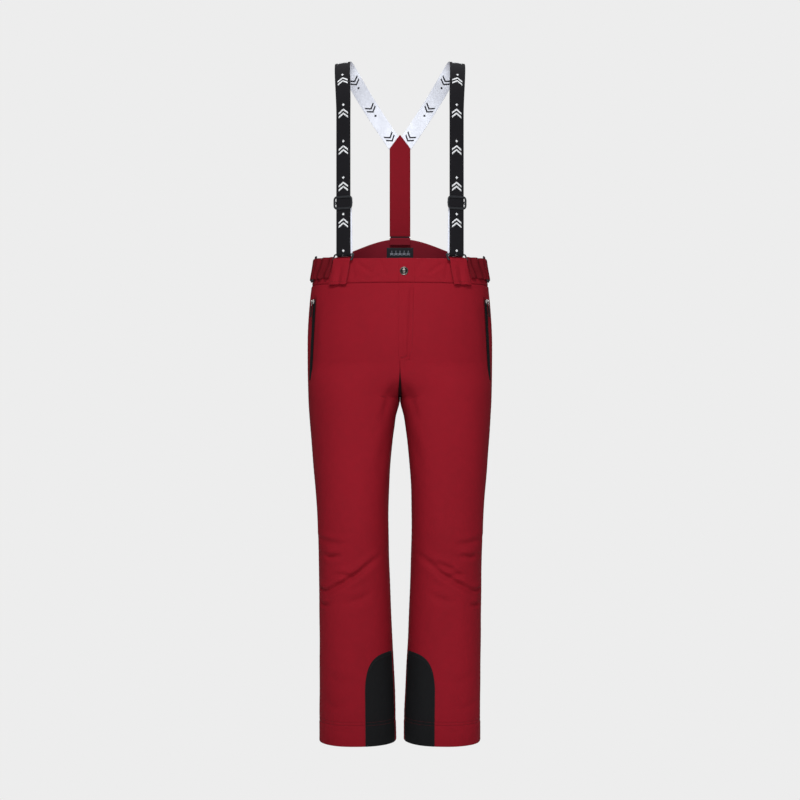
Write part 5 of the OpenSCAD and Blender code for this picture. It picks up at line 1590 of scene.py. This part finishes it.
def make_adjuster(hand, mirrored):
    # ring: two upright bars and two short ends
    build = Build()
    loop = rounded(BAR_GAP, 60 * MM - 2 * BAR_R, 2.4 * MM, (-BAR_GAP / 2, 0), 7)
    build.tube(ADJ(spread(loop[:, 0], 0.0, loop[:, 1])), BAR_R, ADJ.out, closed=True, sides=14)
    build.piece(f"adjuster_ring_{hand}_moulding", *PLASTIC, f"adjuster_ring_{hand}", mirrored=mirrored)

    # anchor: a short gathered loop of cloth from the front of the waistband round the front bar
    y = crowded(-0.083, REAR_Y - BAR_GAP - 2.5 * MM, 44)
    z = crowded(ADJ_LOW + 1 * MM, ADJ_HIGH - 1 * MM, 16)
    grid, normal = side_grid(y, z)
    t = (y - y[0]) / (y[-1] - y[0])
    turns = (grid_uv(grid)[..., 0] + 0.12 * (z[:, None] - ADJ_MID)) / PLEAT
    pleat = np.cos(2 * np.pi * turns + 0.4 * np.sin(z[:, None] * 150) - 0.9)
    folds = 3.3 * MM * np.sign(pleat) * np.abs(pleat) ** 0.7
    high = 4.9 * MM + (0.8 * MM + folds) * smooth(t / 0.10) * smooth((1 - t) / 0.14)
    build, outer = padded(grid, normal, high - 2.0 * MM, high, 1.5 * MM)
    sleeve(build, -BAR_GAP, 0.0, 2 * math.pi * 0.86)
    tree = build.tree()
    for column in (3, -4):
        stitch(build, tree, outer[2:-2, column], level_way, 1)
    build.piece(f"adjuster_anchor_{hand}_cloth", SHADED_SEWN_RED, "shell_fabric", f"adjuster_anchor_{hand}",
                mirrored=mirrored)

    # inner strap sewn to the back of the waistband
    grid, normal = side_grid(crowded(REAR_Y + 7 * MM, FLAP_END + 14 * MM, 40), z)
    build, outer = padded(grid, normal, 0.5 * MM, 2.1 * MM)
    tree = build.tree()
    for column in (-3, -8):
        stitch(build, tree, outer[2:-2, column], level_way, 1)
    build.piece(f"adjuster_strap_{hand}_cloth", SHADED_SEWN_RED, "shell_fabric", f"adjuster_strap_{hand}",
                mirrored=mirrored)

    # flap: folded back from the rear bar, with a rounded end
    flap = f"adjuster_flap_{hand}"
    y = crowded(REAR_Y + 2.6 * MM, FLAP_END, 44)
    into = np.clip((y - (FLAP_END - FLAP_CORNER)) / FLAP_CORNER, 0, 1)
    half = (ADJ_HIGH - ADJ_LOW) / 2 - 1 * MM - FLAP_CORNER * (1 - np.sqrt(np.clip(1 - into ** 2, 0, 1))) * 0.9
    grid, normal = side_grid(y, ADJ_MID + crowded(-1.0, 1.0, 16, 0.05)[:, None] * half[None, :])
    soft = 0.4 * MM * waves(grid, 0.06, 101) * smooth((y - REAR_Y - 5 * MM) / 0.01)
    build, outer = padded(grid, normal, 5.2 * MM, 6.9 * MM + soft)
    rim = np.concatenate([outer[3, 3:-3], outer[3:-3, -4], outer[-4, 3:-3][::-1]])
    stitch(build, build.tree(), rim, level_way, 1)
    build.piece(f"{flap}_cloth", SHADED_SEWN_RED, "shell_fabric", flap, flap, mirrored)

    # the cloth's turn round the rear bar, between the inner strap and the flap
    build = Build()
    sleeve(build, 0.0, -0.5 * math.pi, math.pi)
    turn = build.piece(f"adjuster_turn_{hand}_cloth", [adjuster_shaded_red], "shell_fabric", flap, None, mirrored)
    start, end = (tuple(ADJ([0, out, 0]) * (MIRROR if mirrored else 1)) for out in (-2.6 * MM, 2.6 * MM))
    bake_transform(turn)

    for name, low, high, y0, y1, material, body in (
            ("hook_pad", 4.1 * MM, 4.9 * MM, 0.008, 0.050, hook_tape, flap),
            ("loop_pad", 2.4 * MM, 3.3 * MM, 0.004, 0.054, loop_tape, "root")):
        grid, normal = side_grid(crowded(y0, y1, 20), crowded(ADJ_LOW + 6 * MM, ADJ_HIGH - 6 * MM, 14))
        tuft = 0.06 * MM * np.abs(waves(grid, 0.004, 107, 1, (1, 1, 1)))
        build, _ = padded(grid, normal, low, high + tuft, 0.8 * MM)
        build.piece(f"{name}_{hand}_pile", [material], "hook_tape", f"{name}_{hand}", body, mirrored)


# ---- Ankle gaiters --------------------------------------------------------------------------

GAITER_FOOT_R, GAITER_TOP_R, ELASTIC_R = 72.0 * MM, 74.4 * MM, 68.85 * MM
GATHERS, RIBS, RIB_PITCH = 36, 72, 4 * MM


def make_gaiter(hand, mirrored):
    """Sleeve of lining inside the leg, gathered into a ribbed elastic at the ankle."""
    turn = circle(288)

    def sleeve_between(middle, thick, z):
        return Build().shell(*(spread(LEG_X + r * np.cos(turn), r * np.sin(turn), z[:, None])
                               for r in (middle + thick, middle - thick)), wrap=True)
    low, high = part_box("gaiter_left")
    z = crowded(low.z, high.z, 34)
    t = ((z - low.z) / (high.z - low.z))[:, None]
    gather = 1.1 * MM * bump(t - 0.33, 0.3) * np.sin(GATHERS * turn + 1.7 * np.sin(5 * turn))
    gather = gather + 0.7 * MM * np.sin(11 * turn + 9 * t) * smooth(t / 0.4) * smooth((1 - t) / 0.15)
    build = sleeve_between(mix(GAITER_FOOT_R, GAITER_TOP_R, t) + gather, 0.4 * MM, z)
    build.piece(f"gaiter_{hand}_cloth", [lining_black], "lining", f"gaiter_{hand}", mirrored=mirrored)
    low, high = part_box("gaiter_elastic_left")
    z = crowded(low.z, high.z, 12)
    rib = 0.25 * MM * np.abs(np.sin(np.pi * (z - low.z) / RIB_PITCH))[:, None]
    rib = rib + 0.2 * MM * np.sin(RIBS * turn)
    build = sleeve_between(ELASTIC_R + 0.75 * rib, 0.65 * MM + 0.25 * rib, z)
    build.piece(f"gaiter_elastic_{hand}_web", [elastic_black], "elastic", f"gaiter_elastic_{hand}",
                mirrored=mirrored)


for make in (make_panels, make_hem_stitching, make_guards, make_waistband, make_yoke, make_fly_flap,
             make_snap, make_shield, make_fly_zip, make_rise_shade_tape, make_back_strap, make_label):
    make()
for make in (make_pocket, make_pocket_bag, make_strap, make_return, make_slider, make_ring, make_tab,
             make_adjuster, make_gaiter):
    for which, hand in enumerate(HANDS):
        make(hand, bool(which))


# ---- Studio ---------------------------------------------------------------------------------

BACKDROP = (0.847, 0.847, 0.847, 1)
SKY, SKY_STRENGTH = (0.92, 0.93, 0.95, 1), 0.14
LENS, CAMERA_PLACE = 70, (0, -3.5, 0.762)
# Name, place, target, size and power of each soft light
LIGHTS = (("key", (-0.12, -2.5, 3.1), (0, 0, 1.05), (1.3, 0.9), 72),
          ("fill", (0.35, -3.2, 1.5), (0, 0, 0.9), (1.0, 1.0), 11),
          ("between", (0, -1.5, 0.7), (0, 0, 0.6), (0.25, 1.1), 6.0),
          ("top", (0, 0.35, 2.9), (0, 0, 0.9), (1.2, 1.2), 12),
          ("behind", (0.4, 3.0, 2.2), (0, 0, 0.8), (2.0, 1.6), 60))


def even_to_camera(tree, lit, even, output):
    """Shows the camera an even tone, while the lit shader reflects to everything else."""
    even.inputs[0].default_value = BACKDROP
    path = tree.nodes.new("ShaderNodeLightPath")
    choose = tree.nodes.new("ShaderNodeMixShader")
    for a, b in ((path.outputs["Is Camera Ray"], choose.inputs[0]), (lit.outputs[0], choose.inputs[1]),
                 (even.outputs[0], choose.inputs[2]), (choose.outputs[0], output.inputs["Surface"])):
        tree.links.new(a, b)


def make_studio():
    """Pale seamless backdrop: even to the camera, softly reflecting to the cloth."""
    n = Nodes("studio_pale")
    n.set(colour=n.ramp(n.noise(0.8, 2.0), (1, 1, 1), (0.3, 0.62), (0.7, 0.66)), rough=0.95, specular=0.05)
    even_to_camera(n.tree, n.shader, n.new("Emission"), n.output)
    bpy.ops.mesh.primitive_plane_add(size=40, location=(0, 0, -1 * MM))
    floor = bpy.context.object
    floor.name = "floor"
    floor.data.materials.append(n.material)
    world = bpy.data.worlds.new("studio")
    bpy.context.scene.world = world
    world.use_nodes = True
    tree = world.node_tree
    soft = tree.nodes["Background"]
    soft.inputs[0].default_value = SKY
    soft.inputs[1].default_value = SKY_STRENGTH
    even_to_camera(tree, soft, tree.nodes.new("ShaderNodeBackground"), tree.nodes["World Output"])
    for name, place, target, size, power in LIGHTS:
        data = bpy.data.lights.new(name, "AREA")
        data.shape = "RECTANGLE"
        data.size, data.size_y = size
        data.energy = power
        lamp = bpy.data.objects.new(name, data)
        bpy.context.scene.collection.objects.link(lamp)
        lamp.location = place
        lamp.rotation_euler = (Vector(target) - Vector(place)).to_track_quat("-Z", "Y").to_euler()


def make_camera():
    data = bpy.data.cameras.new("camera")
    data.lens, data.sensor_width = LENS, 36
    cam = bpy.data.objects.new("camera", data)
    bpy.context.scene.collection.objects.link(cam)
    cam.location = CAMERA_PLACE
    cam.rotation_euler = (math.radians(90), 0, 0)
    bpy.context.scene.camera = cam
    bpy.context.scene.view_settings.view_transform = "Standard"


make_studio()
make_camera()
